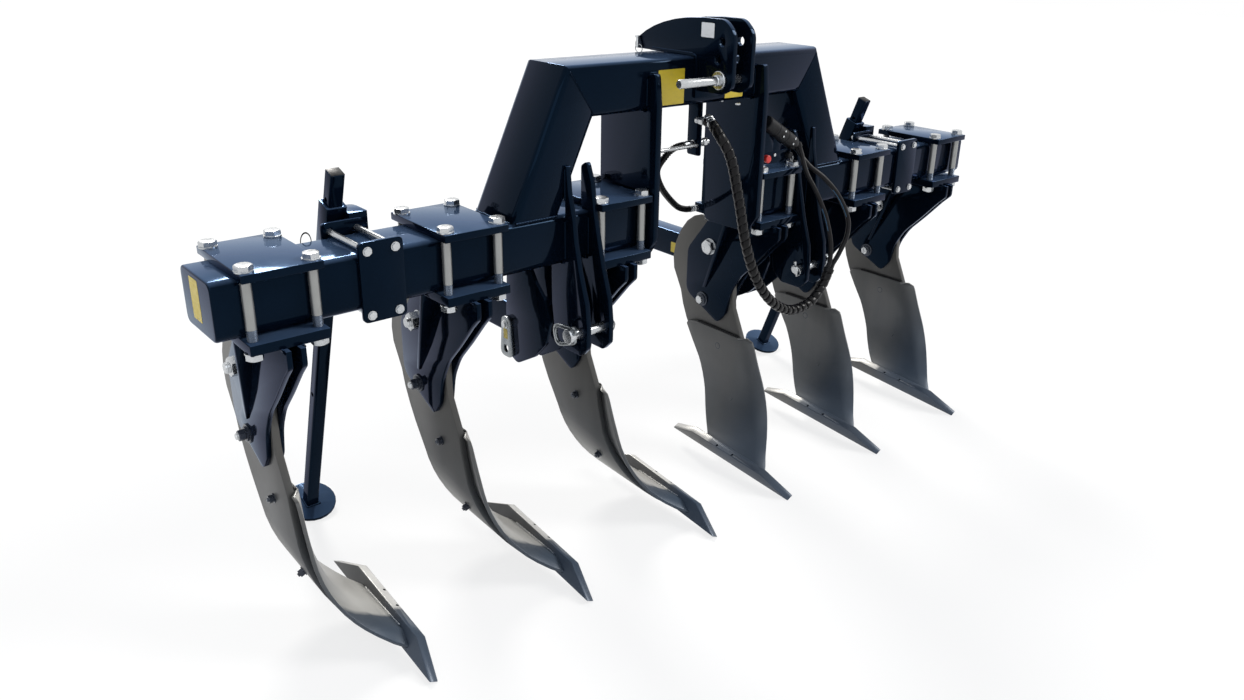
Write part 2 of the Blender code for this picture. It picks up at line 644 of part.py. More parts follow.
for name, (radius, points) in hosePoints.items():
    curve = bpy.data.curves.new(name, "CURVE")
    curve.dimensions = "3D"
    curve.bevel_depth = radius
    curve.bevel_resolution = 2
    curve.use_fill_caps = True
    spline = curve.splines.new("POLY")
    path = smooth(points, 3)
    spline.points.add(len(path) - 1)
    for point, co in zip(spline.points, path):
        point.co = (co.x, co.y, co.z, 1.0)
    temp = bpy.data.objects.new(name + "_curve", curve)
    bpy.context.scene.collection.objects.link(temp)
    bpy.context.view_layer.update()
    graph = bpy.context.evaluated_depsgraph_get()
    mesh = bpy.data.meshes.new_from_object(temp.evaluated_get(graph))
    bpy.data.objects.remove(temp, do_unlink=True)
    hose = bpy.data.objects.new(name, mesh)
    bpy.context.scene.collection.objects.link(hose)
    paint(tidy(hose), "hose_black")

# Hanging bracket for the hose fittings under the top bar
bracket = box("bracket", 0.015, 0.021, -0.066, -0.010, 0.060, archTopZ - sectionHeight - gap)
pieces = [bracket]
pieces.append(prism("fitting", circle(0.013, 12, (0.018, 0.168)), "y", -0.085, -0.045))
pieces.append(prism("fitting", circle(0.012, 12, (-0.036, 0.095)), "x", 0.012 + gap, 0.075))
pieces.append(prism("rodpin", circle(0.006, 10, (-0.056, 0.093)), "x", -0.198, 0.018))
paint(join("hose_bracket", pieces), "zinc")

# Coupling holder: a bar on the left inner plate with a plug body and two stubs
coupleLow = Vector((0.390, -0.120, 0.066))
coupleHigh = Vector((0.247, -0.120, 0.149))
along = (coupleHigh - coupleLow).normalized()
sideways = Vector((0.0, 1.0, 0.0))
upward = sideways.cross(along)
rings = []
for k, r in ((0.0, 0.020), (0.010, 0.024), ((coupleHigh - coupleLow).length, 0.024)):
    rings.append([coupleLow + along * k + sideways * a + upward * b for a, b in circle(r, 16)])
holderX = innerPlateX + innerPlateThick + gap
pieces = [loft("plug", rings), box("bar", holderX, 0.382, -0.118, -0.112, 0.014, 0.052),
          box("post", 0.292, 0.330, -0.118, -0.112, 0.048, 0.110)]
for x, z, r in ((0.258, 0.033, 0.015), (0.364, 0.033, 0.011)):
    pieces.append(prism("stub", circle(r, 12, (x, z)), "y", -0.135, -0.110))
paint(join("coupling_holder", pieces), "frame_paint")

for obj in bpy.data.objects:
    if obj.location.length > 0:
        obj.location += Vector((0.0, depthShift, groundDrop))
    else:
        for v in obj.data.vertices:
            v.co += Vector((0.0, depthShift, groundDrop))
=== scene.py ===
# Looks for the six-leg subsoiler: paint, steel, fasteners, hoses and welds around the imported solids
import bpy
import bmesh
import math
from mathutils import Matrix, Vector


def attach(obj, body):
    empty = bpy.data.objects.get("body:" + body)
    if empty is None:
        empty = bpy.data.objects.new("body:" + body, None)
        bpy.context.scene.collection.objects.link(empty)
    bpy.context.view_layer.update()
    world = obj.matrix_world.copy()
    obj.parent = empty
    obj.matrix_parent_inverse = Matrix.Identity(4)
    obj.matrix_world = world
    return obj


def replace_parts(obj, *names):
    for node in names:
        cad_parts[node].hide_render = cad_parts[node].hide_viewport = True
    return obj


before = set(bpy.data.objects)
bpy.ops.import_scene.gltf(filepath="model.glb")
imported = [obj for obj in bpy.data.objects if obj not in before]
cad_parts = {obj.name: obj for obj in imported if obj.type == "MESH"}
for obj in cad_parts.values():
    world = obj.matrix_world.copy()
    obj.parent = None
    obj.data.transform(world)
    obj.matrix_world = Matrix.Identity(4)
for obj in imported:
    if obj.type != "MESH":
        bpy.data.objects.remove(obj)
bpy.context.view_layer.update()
scene = bpy.context.scene
datum = Vector((0.0, -0.168, 1.05))   # beam centre line, at the height of the clamp bolt heads
up, down, forward, backward = (0, 0, 1), (0, 0, -1), (0, -1, 0), (0, 1, 0)
print("frame loaded:", len(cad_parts), "nodes")

# Camera, solved from the photograph's lines
viewpoint = {"place": (-2.052, -2.300, 1.722), "yaw": 41.762, "pitch": 21.459, "roll": 1.485,
             "lens": 27.97, "shiftX": -0.0150, "shiftY": -0.0251}
cameraData = bpy.data.cameras.new("photoCamera")
cameraData.sensor_width = 36.0
cameraData.lens = viewpoint["lens"]
cameraData.shift_x = viewpoint["shiftX"]
cameraData.shift_y = viewpoint["shiftY"]
cameraData.clip_end = 60.0
camera = bpy.data.objects.new("photoCamera", cameraData)
scene.collection.objects.link(camera)
camera.matrix_world = (Matrix.Translation(viewpoint["place"])
                       @ Matrix.Rotation(math.radians(-viewpoint["yaw"]), 4, "Z")
                       @ Matrix.Rotation(math.radians(90.0 - viewpoint["pitch"]), 4, "X")
                       @ Matrix.Rotation(math.radians(viewpoint["roll"]), 4, "Z"))
scene.camera = camera


# Positions below are written from the datum; this puts them in the frame of the solids
def at(x, y, z):
    return datum + Vector((x, y, z))


def startFinish(name, colour, roughness, metallic=0.0):
    finish = bpy.data.materials.new(name)
    finish.use_nodes = True
    shader = finish.node_tree.nodes["Principled BSDF"]
    shader.inputs["Base Color"].default_value = (*colour, 1.0)
    shader.inputs["Roughness"].default_value = roughness
    shader.inputs["Metallic"].default_value = metallic
    return finish, finish.node_tree, shader


# Values go to the inputs of that name, or else to the node's own settings
def addNode(tree, kind, **values):
    node = tree.nodes.new(kind)
    for key, value in values.items():
        if key in node.inputs:
            node.inputs[key].default_value = value
        else:
            setattr(node, key, value)
    return node


# Give a socket a plain number or colour, or link it to an output
def feed(tree, socket, value):
    if isinstance(value, float):
        socket.default_value = value
    elif isinstance(value, tuple):
        socket.default_value = (*value, 1.0)
    else:
        tree.links.new(value, socket)


# Noise on Object coordinates, stretched by the scale of a Mapping node
def addGrain(tree, scale, detail=3.0, stretch=(1.0, 1.0, 1.0), turn=(0.0, 0.0, 0.0)):
    coords = addNode(tree, "ShaderNodeTexCoord")
    mapping = addNode(tree, "ShaderNodeMapping", Scale=stretch, Rotation=turn)
    noise = addNode(tree, "ShaderNodeTexNoise", Scale=scale, Detail=detail)
    tree.links.new(coords.outputs["Object"], mapping.inputs["Vector"])
    tree.links.new(mapping.outputs["Vector"], noise.inputs["Vector"])
    return noise.outputs["Fac"]


# X, Y and Z of what a node gives
def splitVector(tree, kind, output):
    split = addNode(tree, "ShaderNodeSeparateXYZ")
    tree.links.new(addNode(tree, kind).outputs[output], split.inputs[0])
    return split.outputs


def spread(tree, source, low, high, fromLow=0.3, fromHigh=0.7):
    node = tree.nodes.new("ShaderNodeMapRange")
    for key, value in (("From Min", fromLow), ("From Max", fromHigh), ("To Min", low), ("To Max", high)):
        node.inputs[key].default_value = value
    tree.links.new(source, node.inputs["Value"])
    return node.outputs["Result"]


def blendColours(tree, factor, first, second):
    node = addNode(tree, "ShaderNodeMix", data_type="RGBA")
    colours = [socket for socket in node.inputs if socket.type == "RGBA"]
    for socket, value in zip([node.inputs["Factor"]] + colours, (factor, first, second)):
        feed(tree, socket, value)
    return [socket for socket in node.outputs if socket.type == "RGBA"][0]


def combine(tree, operation, *values):
    node = addNode(tree, "ShaderNodeMath", operation=operation)
    for socket, value in zip(node.inputs, values):
        feed(tree, socket, value)
    return node.outputs[0]


def addBump(tree, shader, heights):
    last = None
    for source, strength, distance in heights:
        bump = addNode(tree, "ShaderNodeBump", Strength=strength, Distance=distance)
        tree.links.new(source, bump.inputs["Height"])
        if last:
            tree.links.new(last, bump.inputs["Normal"])
        last = bump.outputs["Normal"]
    tree.links.new(last, shader.inputs["Normal"])


# Gloss paint, near black, with a painted reflection of the blue sky and a little dust on faces that look up
paint = {"plain": (0.0024, 0.0052, 0.0115), "dark": (0.0010, 0.0028, 0.0070), "light": (0.0018, 0.0046, 0.0105),
         "paintedSky": (0.040, 0.072, 0.135), "dust": (0.16, 0.16, 0.16), "dustShare": 0.04, "looksUp": (0.55, 0.98),
         "rough": (0.055, 0.085), "shine": 0.14, "shineTint": (0.25, 0.55, 1.0)}


def frameNavy():
    finish, tree, shader = startFinish("frameNavy", paint["plain"], 0.08, 0.25)
    tone = blendColours(tree, spread(tree, addGrain(tree, 3.2, 4.0), 0.0, 1.0), paint["dark"], paint["light"])
    facing = splitVector(tree, "ShaderNodeNewGeometry", "Normal")["Z"]
    # faces that look up take a painted reflection of the blue sky in their colour
    tone = blendColours(tree, spread(tree, facing, 0.0, 1.0, *paint["looksUp"]), tone, paint["paintedSky"])
    specks = spread(tree, addGrain(tree, 26.0, 6.0), 0.15, 1.0, 0.40, 0.68)
    dust = combine(tree, "MULTIPLY", spread(tree, facing, 0.0, paint["dustShare"], *paint["looksUp"]), specks)
    tree.links.new(blendColours(tree, dust, tone, paint["dust"]), shader.inputs["Base Color"])
    rough = combine(tree, "ADD", spread(tree, addGrain(tree, 7.0, 5.0), *paint["rough"]), dust)
    tree.links.new(rough, shader.inputs["Roughness"])
    shader.inputs["Specular IOR Level"].default_value = paint["shine"]
    shader.inputs["Specular Tint"].default_value = (*paint["shineTint"], 1.0)
    addBump(tree, shader, [(addGrain(tree, 160.0, 2.0), 0.03, 0.0003), (addGrain(tree, 14.0, 2.0), 0.04, 0.0010)])
    return finish


# Satin plate steel: "point" is how far the painted shade, cool and dark, goes beyond the point, and faces that look
# the way of "facing" (axis, from, to) get a painted sheen in the pale tone, standing in for sunlight on the steel
steels = {
    "blade": {"name": "bladeGrey", "dark": (0.060, 0.058, 0.054), "light": (0.078, 0.075, 0.070),
              "rough": (0.34, 0.46), "point": 0.6, "pale": (0.24, 0.233, 0.215), "facing": [("Z", -0.10, -0.75)]},
    "wear": {"name": "wearGrey", "dark": (0.088, 0.087, 0.083), "light": (0.112, 0.110, 0.105),
             "rough": (0.30, 0.40), "point": 0.4, "pale": (0.40, 0.392, 0.370),
             "facing": [("X", 0.15, 0.42), ("Z", 0.25, 0.72)]},
    "share": {"name": "shareGrey", "dark": (0.088, 0.087, 0.085), "light": (0.125, 0.123, 0.119),
              "rough": (0.30, 0.40), "point": 0.1, "pale": (0.52, 0.512, 0.490), "facing": [("Z", 0.60, 0.85)]},
    "bead": {"name": "beadGrey", "dark": (0.110, 0.108, 0.104), "light": (0.150, 0.147, 0.142),
             "rough": (0.38, 0.48), "point": 0.3, "pale": (0.48, 0.472, 0.450), "facing": [("Z", 0.10, 0.60)]},
}
# cool keys: painted shade with a blue painted sky reflection; paleAlong: where the painted sheen gives way to
# painted shade; stain: random stains
steelWear = {"coolTint": (0.42, 0.68, 1.12), "coolShare": 0.85, "coolHeights": (0.10, 0.52),
             "coolAlong": (-0.40, -0.28), "paleAlong": (-0.352, -0.338), "leftShift": -0.125, "stain": 0.80}


def plateSteel(steel):
    finish, tree, shader = startFinish(steel["name"], steel["light"], 0.4, 0.2)
    streaks = addGrain(tree, 3.0, 5.0, (6.0, 6.0, 0.7), (0.25, 0.0, 0.0))
    clouds = addGrain(tree, 2.8, 3.0)
    scratches = addGrain(tree, 120.0, 4.0, (1.0, 1.0, 0.06), (0.25, 0.0, 0.0))
    tone = blendColours(tree, spread(tree, streaks, 0.0, 1.0, 0.25, 0.75), steel["dark"], steel["light"])
    # painted shade with a blue painted sky reflection: darker and bluer towards the ground and the point, and
    # further back on the machine's left half
    place = splitVector(tree, "ShaderNodeTexCoord", "Object")
    leftHalf = spread(tree, place["X"], 0.0, 1.0, -0.05, 0.05)
    along = combine(tree, "MULTIPLY_ADD", leftHalf, steelWear["leftShift"], place["Y"])
    low = spread(tree, place["Z"], steelWear["coolShare"], 0.0, *steelWear["coolHeights"])
    ahead = spread(tree, along, 1.0, steel["point"], *steelWear["coolAlong"])
    paintedShade = tuple(v * k for v, k in zip(steel["dark"], steelWear["coolTint"]))
    tone = blendColours(tree, combine(tree, "MULTIPLY", low, ahead), tone, paintedShade)
    # painted sheen: the pale tone stands in for sunlight on the steel, back from a painted shadow edge along the
    # leg (paleAlong)
    paintedSheen = spread(tree, along, 0.0, 1.0, *steelWear["paleAlong"])
    normal = splitVector(tree, "ShaderNodeNewGeometry", "Normal")
    for axis, first, last in steel["facing"]:
        paintedSheen = combine(tree, "MULTIPLY", paintedSheen, spread(tree, normal[axis], 0.0, 1.0, first, last))
    tone = blendColours(tree, paintedSheen, tone, steel["pale"])
    stain = tuple(v * steelWear["stain"] for v in steel["dark"])
    tone = blendColours(tree, spread(tree, clouds, 0.0, 0.40, 0.45, 0.75), tone, stain)
    tree.links.new(tone, shader.inputs["Base Color"])
    tree.links.new(spread(tree, clouds, *steel["rough"], 0.35, 0.65), shader.inputs["Roughness"])
    shader.inputs["Specular IOR Level"].default_value = 0.38
    addBump(tree, shader, [(addGrain(tree, 380.0, 2.0), 0.05, 0.0002), (scratches, 0.06, 0.0002)])
    return finish


# Zinc plating: pale, faintly blue, with a fine spangle and dull rubbed patches
def zincBright(name, light, dark, metallic, grain=0.04, roughLow=0.20, roughHigh=0.30):
    finish, tree, shader = startFinish(name, light, 0.3, metallic)
    spangle = addGrain(tree, 150.0, 3.0)
    patches = addGrain(tree, 30.0, 3.0)
    tone = blendColours(tree, spread(tree, patches, 0.0, 1.0, 0.30, 0.70), dark, light)
    tree.links.new(tone, shader.inputs["Base Color"])
    tree.links.new(spread(tree, spangle, roughLow, roughHigh), shader.inputs["Roughness"])
    addBump(tree, shader, [(spangle, grain, 0.0002)])
    return finish


def hoseBlack(name, light, rough):
    finish, tree, shader = startFinish(name, (0.006, 0.006, 0.007), rough)
    grime = addGrain(tree, 45.0, 6.0)
    tone = blendColours(tree, spread(tree, grime, 0.0, 1.0, 0.38, 0.66), (0.004, 0.004, 0.005), light)
    tree.links.new(tone, shader.inputs["Base Color"])
    tree.links.new(spread(tree, grime, rough - 0.08, rough + 0.10), shader.inputs["Roughness"])
    shader.inputs["Specular IOR Level"].default_value = 0.16
    addBump(tree, shader, [(addGrain(tree, 700.0, 2.0), 0.12, 0.0002)])
    return finish


# Printed vinyl, blank: one tone with faint scuffs and a soft gloss
def plainVinyl(name, colour, dull):
    finish, tree, shader = startFinish(name, colour, 0.35)
    scuff = addGrain(tree, 60.0, 6.0, (1.0, 1.0, 3.0))
    tone = blendColours(tree, spread(tree, scuff, 0.0, 0.6, 0.52, 0.75), colour, dull)
    tree.links.new(tone, shader.inputs["Base Color"])
    tree.links.new(spread(tree, scuff, 0.28, 0.48), shader.inputs["Roughness"])
    addBump(tree, shader, [(scuff, 0.06, 0.0003)])
    return finish


finishes = {
    "navy": frameNavy(),
    "zinc": zincBright("zincBright", (0.56, 0.575, 0.59), (0.46, 0.48, 0.50), 0.9, 0.02),
    "rod": zincBright("rodZinc", (0.31, 0.315, 0.31), (0.285, 0.29, 0.285), 0.85, 0.003, 0.37, 0.41),
    "shackle": zincBright("shackleZinc", (0.30, 0.32, 0.33), (0.20, 0.22, 0.24), 0.9, 0.02),
    "thread": zincBright("threadZinc", (0.17, 0.20, 0.25), (0.11, 0.14, 0.19), 0.7, 0.02),
    "nutDark": zincBright("nutBlued", (0.060, 0.070, 0.092), (0.030, 0.036, 0.050), 0.5),
    "hose": hoseBlack("hoseBlack", (0.008, 0.008, 0.010), 0.36),
    "wrap": hoseBlack("wrapBlack", (0.006, 0.006, 0.007), 0.22),
    "plastic": hoseBlack("plugBlack", (0.010, 0.011, 0.013), 0.38),
    "yellow": plainVinyl("labelYellow", (0.56, 0.42, 0.022), (0.46, 0.34, 0.035)),
    "white": plainVinyl("labelWhite", (0.80, 0.80, 0.80), (0.66, 0.66, 0.65)),
    "red": plainVinyl("capRed", (0.52, 0.02, 0.015), (0.36, 0.02, 0.015)),
    "blue": plainVinyl("stripeBlue", (0.03, 0.15, 0.30), (0.03, 0.10, 0.20)),
}
for key, steel in steels.items():
    finishes[key] = plateSteel(steel)
usualSlots = {"navy": "frame_paint", "blade": "blade_grey", "wear": "blade_grey", "share": "blade_grey",
              "bead": "blade_grey", "zinc": "zinc", "rod": "zinc", "shackle": "zinc", "thread": "zinc",
              "nutDark": "zinc", "wrap": "hose_black"}
print("finishes ready:", len(finishes))


def clearSelection():
    if bpy.context.object and bpy.context.object.mode != "OBJECT":
        bpy.ops.object.mode_set(mode="OBJECT")
    bpy.ops.object.select_all(action="DESELECT")


def pick(piece):
    clearSelection()
    piece.select_set(True)
    bpy.context.view_layer.objects.active = piece


def newPiece(name, data):
    piece = bpy.data.objects.new(name, data)
    scene.collection.objects.link(piece)
    return piece


# Called in edit mode: turn every face outwards, and go back to object mode
def faceOutwards():
    bpy.ops.mesh.select_all(action="SELECT")
    bpy.ops.mesh.normals_make_consistent(inside=False)
    bpy.ops.object.mode_set(mode="OBJECT")


# Put the place into the mesh, turn faces outwards, finish, and let it ride on its body
def settle(piece, name, finish, body="frame", slot="usual", angle=35.0, recalc=True):
    pick(piece)
    bpy.ops.object.transform_apply(location=True, rotation=True, scale=True)
    if recalc:
        bpy.ops.object.mode_set(mode="EDIT")
        faceOutwards()
    bpy.ops.object.shade_smooth_by_angle(angle=math.radians(angle))
    piece.name = name
    piece.data.name = name
    piece.data.materials.clear()
    piece.data.materials.append(finishes[finish])
    if slot == "usual":
        slot = usualSlots.get(finish)
    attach(piece, body)
    return piece


def roundEdges(piece, width, segments=2, angle=35.0):
    pick(piece)
    bevel = piece.modifiers.new("edges", "BEVEL")
    bevel.width = width
    bevel.segments = segments
    bevel.limit_method = "ANGLE"
    bevel.angle_limit = math.radians(angle)
    bpy.ops.object.modifier_apply(modifier="edges")
    return piece


# Place for a shape modelled about Z: where, which way Z goes, and scales across and along
def placed(point, direction, across=1.0, along=1.0, turn=0.0):
    facing = Vector(direction).to_track_quat("Z", "Y").to_matrix().to_4x4()
    return (Matrix.Translation(point) @ facing @ Matrix.Rotation(turn, 4, "Z")
            @ Matrix.Diagonal((across, across, along, 1.0)))


# Turned shape about Z: a disc extruded and scaled through (radius, height) steps
def turnedShape(steps, sides=24, place=None):
    clearSelection()
    radius, height = steps[0]
    bpy.ops.mesh.primitive_circle_add(vertices=sides, radius=radius, fill_type="NGON",
                                      location=(0.0, 0.0, height))
    shape = bpy.context.object
    bpy.ops.object.transform_apply(location=True)
    bpy.ops.object.mode_set(mode="EDIT")
    bpy.ops.mesh.select_all(action="SELECT")
    for nextRadius, nextHeight in steps[1:]:
        bpy.ops.mesh.extrude_region_move(
            TRANSFORM_OT_translate={"value": (0.0, 0.0, nextHeight - height)})
        grow = nextRadius / radius
        if abs(grow - 1.0) > 1e-5:
            bpy.ops.transform.resize(value=(grow, grow, 1.0), center_override=(0.0, 0.0, 0.0))
        radius, height = nextRadius, nextHeight
    faceOutwards()
    if place is not None:
        shape.data.transform(place)
    return shape


# Keep a shape's mesh as a pattern to copy, and drop the object
def keepMesh(shape, name):
    mesh = shape.data
    mesh.name = name
    mesh.use_fake_user = True
    bpy.data.objects.remove(shape)
    return mesh


def cutWith(piece, tool, operation="DIFFERENCE"):
    pick(piece)
    mod = piece.modifiers.new("cut", "BOOLEAN")
    mod.operation = operation
    mod.solver = "EXACT"
    mod.object = tool
    bpy.ops.object.modifier_apply(modifier="cut")
    bpy.data.objects.remove(tool)
    return piece


def drillHole(piece, spot, radius, reach, sides, direction=(1, 0, 0)):
    return cutWith(piece, turnedShape([(radius, -reach), (radius, reach)], sides, placed(spot, direction)))


# Hexagon one unit across its flats, with the corners turned off at 30 degrees
def hexShape(height, bothSides):
    clearSelection()
    bpy.ops.mesh.primitive_cylinder_add(vertices=6, radius=1.0 / math.sqrt(3.0), depth=height,
                                        location=(0.0, 0.0, height / 2))
    hexagon = bpy.context.object
    bpy.ops.object.transform_apply(location=True)
    steps = [(0.475, 0.0), (0.60, 0.072)] if bothSides else [(0.60, -0.01)]
    cone = turnedShape(steps + [(0.60, height - 0.072), (0.475, height)], 36)
    return cutWith(hexagon, cone, "INTERSECT")


def wireRing(radius, wire, sides, place):
    clearSelection()
    bpy.ops.mesh.primitive_torus_add(major_radius=radius, minor_radius=wire, major_segments=sides,
                                     minor_segments=8)
    ring = bpy.context.object
    ring.data.transform(place)
    return ring


# Several placed copies of patterns, each with its own geometry, in one piece
def gather(name, items, finish="zinc"):
    built = bmesh.new()
    for pattern, place in items:
        part = pattern.copy()
        part.transform(place)
        built.from_mesh(part)
        bpy.data.meshes.remove(part)
    mesh = bpy.data.meshes.new(name)
    built.to_mesh(mesh)
    built.free()
    return settle(newPiece(name, mesh), name, finish, recalc=False)


def filletOutline(outline, radii, steps=6):
    out = []
    count = len(outline)
    for i in range(count):
        corner = Vector(outline[i])
        back = Vector(outline[i - 1]) - corner
        ahead = Vector(outline[(i + 1) % count]) - corner
        radius = radii[i] if isinstance(radii, (list, tuple)) else radii
        angle = back.angle(ahead)
        if radius <= 0 or angle > math.radians(172):
            out.append(tuple(corner))
            continue
        cut = min(radius / math.tan(angle / 2), back.length * 0.45, ahead.length * 0.45)
        start = corner + back.normalized() * cut
        end = corner + ahead.normalized() * cut
        for k in range(steps + 1):
            t = k / steps
            out.append(tuple(start * (1 - t) ** 2 + corner * 2 * t * (1 - t) + end * t ** 2))
    return out


def rectangle(a, b, farA, farB):
    return [(a, b), (farA, b), (farA, farB), (a, farB)]


# Plate cut to an outline: a filled disc with its corners moved, extruded to thickness
def cutPlate(outline, axis, low, high):
    clearSelection()
    bpy.ops.mesh.primitive_circle_add(vertices=len(outline), radius=1.0, fill_type="NGON")
    plate = bpy.context.object
    order = {"x": (2, 0, 1), "y": (0, 2, 1), "z": (0, 1, 2)}[axis]
    for vertex, (a, b) in zip(plate.data.vertices, outline):
        vertex.co = at(*[(a, b, low)[k] for k in order])
    push = [(0.0, 0.0, high - low)[k] for k in order]
    bpy.ops.object.mode_set(mode="EDIT")
    bpy.ops.mesh.select_all(action="SELECT")
    bpy.ops.mesh.extrude_region_move(TRANSFORM_OT_translate={"value": push})
    faceOutwards()
    return plate


# The same plate on the right (-1) or left (1) half, between two distances from the middle
def sidePlate(outline, side, near, far):
    low, high = sorted((side * near, side * far))
    return cutPlate(outline, "x", low, high)


def cubeBetween(low, high, base=datum):
    clearSelection()
    middle = (Vector(low) + Vector(high)) / 2
    bpy.ops.mesh.primitive_cube_add(size=1.0, location=base + middle)
    cube = bpy.context.object
    cube.scale = Vector(high) - Vector(low)
    bpy.ops.object.transform_apply(location=True, rotation=True, scale=True)
    return cube


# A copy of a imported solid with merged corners, clean flats and rounded edges
def softCopy(node, width, segments=2, angle=35.0):
    piece = newPiece(node + "_body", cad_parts[node].data.copy())
    pick(piece)
    bpy.ops.object.mode_set(mode="EDIT")
    bpy.ops.mesh.select_all(action="SELECT")
    bpy.ops.mesh.remove_doubles(threshold=0.00003)
    bpy.ops.mesh.dissolve_limited(angle_limit=math.radians(0.6))
    bpy.ops.mesh.normals_make_consistent(inside=False)
    bpy.ops.object.mode_set(mode="OBJECT")
    return roundEdges(piece, width, segments, angle)


def joinPieces(pieces):
    clearSelection()
    for piece in pieces:
        piece.select_set(True)
    bpy.context.view_layer.objects.active = pieces[0]
    bpy.ops.object.join()
    return bpy.context.object


def startCurve(name, radius, roundness):
    curve = bpy.data.curves.new(name, "CURVE")
    curve.dimensions = "3D"
    curve.bevel_depth = radius
    curve.bevel_resolution = roundness
    curve.use_fill_caps = True
    return curve


def addLine(curve, points, swell=(1.0,)):
    spline = curve.splines.new("POLY")
    spline.points.add(len(points) - 1)
    for k, point in enumerate(spline.points):
        point.co = (*points[k], 1.0)
        point.radius = swell[k % len(swell)]


def meshFromCurve(name, curve):
    pick(newPiece(name, curve))
    bpy.ops.object.convert(target="MESH")
    return bpy.context.object


# Hoses: the same routes as the solids
hoseRoutes = {
    "hose_bundle": {"radius": 0.0142, "finish": "wrap", "points": [
        (0.018, -0.0854, 0.168), (0.018, -0.096, 0.168), (0.017, -0.108, 0.167),
        (0.002, -0.158, 0.140), (0.023, -0.190, 0.074), (0.042, -0.215, -0.051),
        (0.064, -0.235, -0.187), (0.109, -0.245, -0.300), (0.183, -0.250, -0.392),
        (0.282, -0.250, -0.446), (0.384, -0.250, -0.440), (0.444, -0.250, -0.390),
        (0.4609, -0.250, -0.3568), (0.4655, -0.250, -0.3479), (0.4700, -0.250, -0.3390)]},
    "hose_upper_a": {"radius": 0.008, "finish": "hose", "points": [
        (0.4612, -0.250, -0.3342), (0.4657, -0.250, -0.3253), (0.4690, -0.250, -0.3170),
        (0.469, -0.249, -0.270), (0.462, -0.243, -0.220), (0.443, -0.230, -0.150),
        (0.421, -0.205, -0.082), (0.404, -0.172, -0.022), (0.4060, -0.142, 0.036),
        (0.4030, -0.1330, 0.0578), (0.3972, -0.1316, 0.0618), (0.3903, -0.1316, 0.0658)]},
    "hose_upper_b": {"radius": 0.008, "finish": "hose", "points": [
        (0.4790, -0.250, -0.3433), (0.4835, -0.250, -0.3344), (0.4886, -0.250, -0.3258),
        (0.512, -0.252, -0.296), (0.541, -0.255, -0.240), (0.545, -0.250, -0.182),
        (0.520, -0.225, -0.109), (0.475, -0.195, -0.048), (0.432, -0.156, -0.004),
        (0.4130, -0.121, 0.040), (0.4040, -0.1088, 0.0579), (0.3972, -0.1084, 0.0618),
        (0.3903, -0.1084, 0.0658)]},
    "hose_centre": {"radius": 0.0088, "finish": "hose", "points": [
        (0.0119, -0.036, 0.095), (0.004, -0.036, 0.095), (-0.006, -0.036, 0.095),
        (-0.058, -0.034, 0.090), (-0.089, -0.026, 0.066), (-0.094, 0.004, 0.016),
        (-0.026, 0.052, -0.058), (0.084, 0.102, -0.139), (0.150, 0.124, -0.167),
        (0.186, 0.125, -0.170), (0.197, 0.125, -0.170), (0.2077, 0.125, -0.170)]},
}


def routeCurve(name, radius, points):
    curve = startCurve(name, radius, 4)
    curve.resolution_u = 8
    spline = curve.splines.new("BEZIER")
    spline.bezier_points.add(len(points) - 1)
    last = len(points) - 1
    for i, knot in enumerate(spline.bezier_points):
        here = at(*points[i])
        swing = (at(*points[min(i + 1, last)]) - at(*points[max(i - 1, 0)])) / 6
        knot.handle_left_type = knot.handle_right_type = "FREE"
        knot.co = here
        knot.handle_left = here - swing
        knot.handle_right = here + swing
    return newPiece(name, curve)


# Close samples along a route, each with a frame that turns as little as it can
def routeFrames(points, steps):
    last = len(points) - 1
    line = []
    for i in range(last):
        a, b = at(*points[i]), at(*points[i + 1])
        outA = a + (b - at(*points[max(i - 1, 0)])) / 6
        inB = b - (at(*points[min(i + 2, last)]) - a) / 6
        for k in range(steps):
            t = k / steps
            line.append(a * (1 - t) ** 3 + outA * 3 * t * (1 - t) ** 2 + inB * 3 * t * t * (1 - t) + b * t ** 3)
    line.append(at(*points[last]))
    frames = []
    side = None
    run = 0.0
    for i, here in enumerate(line):
        ahead = (line[min(i + 1, len(line) - 1)] - line[max(i - 1, 0)]).normalized()
        if side is None:
            side = ahead.orthogonal()
        side = (side - ahead * side.dot(ahead)).normalized()
        if i:
            run += (here - line[i - 1]).length
        frames.append((run, here, ahead, side, ahead.cross(side)))
    return frames


def frameAt(frames, run):
    low, high = 0, len(frames) - 1
    while high - low > 1:
        middle = (low + high) // 2
        if frames[middle][0] <= run:
            low = middle
        else:
            high = middle
    a, b = frames[low], frames[high]
    share = min(max((run - a[0]) / max(b[0] - a[0], 1e-9), 0.0), 1.0)
    return [a[k].lerp(b[k], share) for k in range(1, 5)]


# Point on a route's outside, at an angle around it
def besideRoute(frames, run, angle, radius):
    here, ahead, side, upward = frameAt(frames, run)
    return here + (side * math.cos(angle) + upward * math.sin(angle)) * radius


# A strip or wire wound round a route: corners are (distance from the middle, offset along)
def woundPiece(name, frames, start, end, pitch, corners, perTurn):
    turns = (end - start) / pitch
    count = int(turns * perTurn)
    verts, faces = [], []
    n = len(corners)
    for k in range(count + 1):
        run = start + (end - start) * k / count
        angle = 2 * math.pi * turns * k / count
        for radius, offset in corners:
            verts.append(tuple(besideRoute(frames, min(max(run + offset, 0.0), frames[-1][0]), angle, radius)))
    for k in range(count):
        for c in range(n):
            d = (c + 1) % n
            faces.append((k * n + c, k * n + d, (k + 1) * n + d, (k + 1) * n + c))
    faces.append(tuple(range(n)))
    faces.append(tuple(reversed(range(count * n, count * n + n))))
    mesh = bpy.data.meshes.new(name)
    mesh.from_pydata(verts, [], faces)
    return settle(newPiece(name, mesh), name, "wrap", angle=50.0)


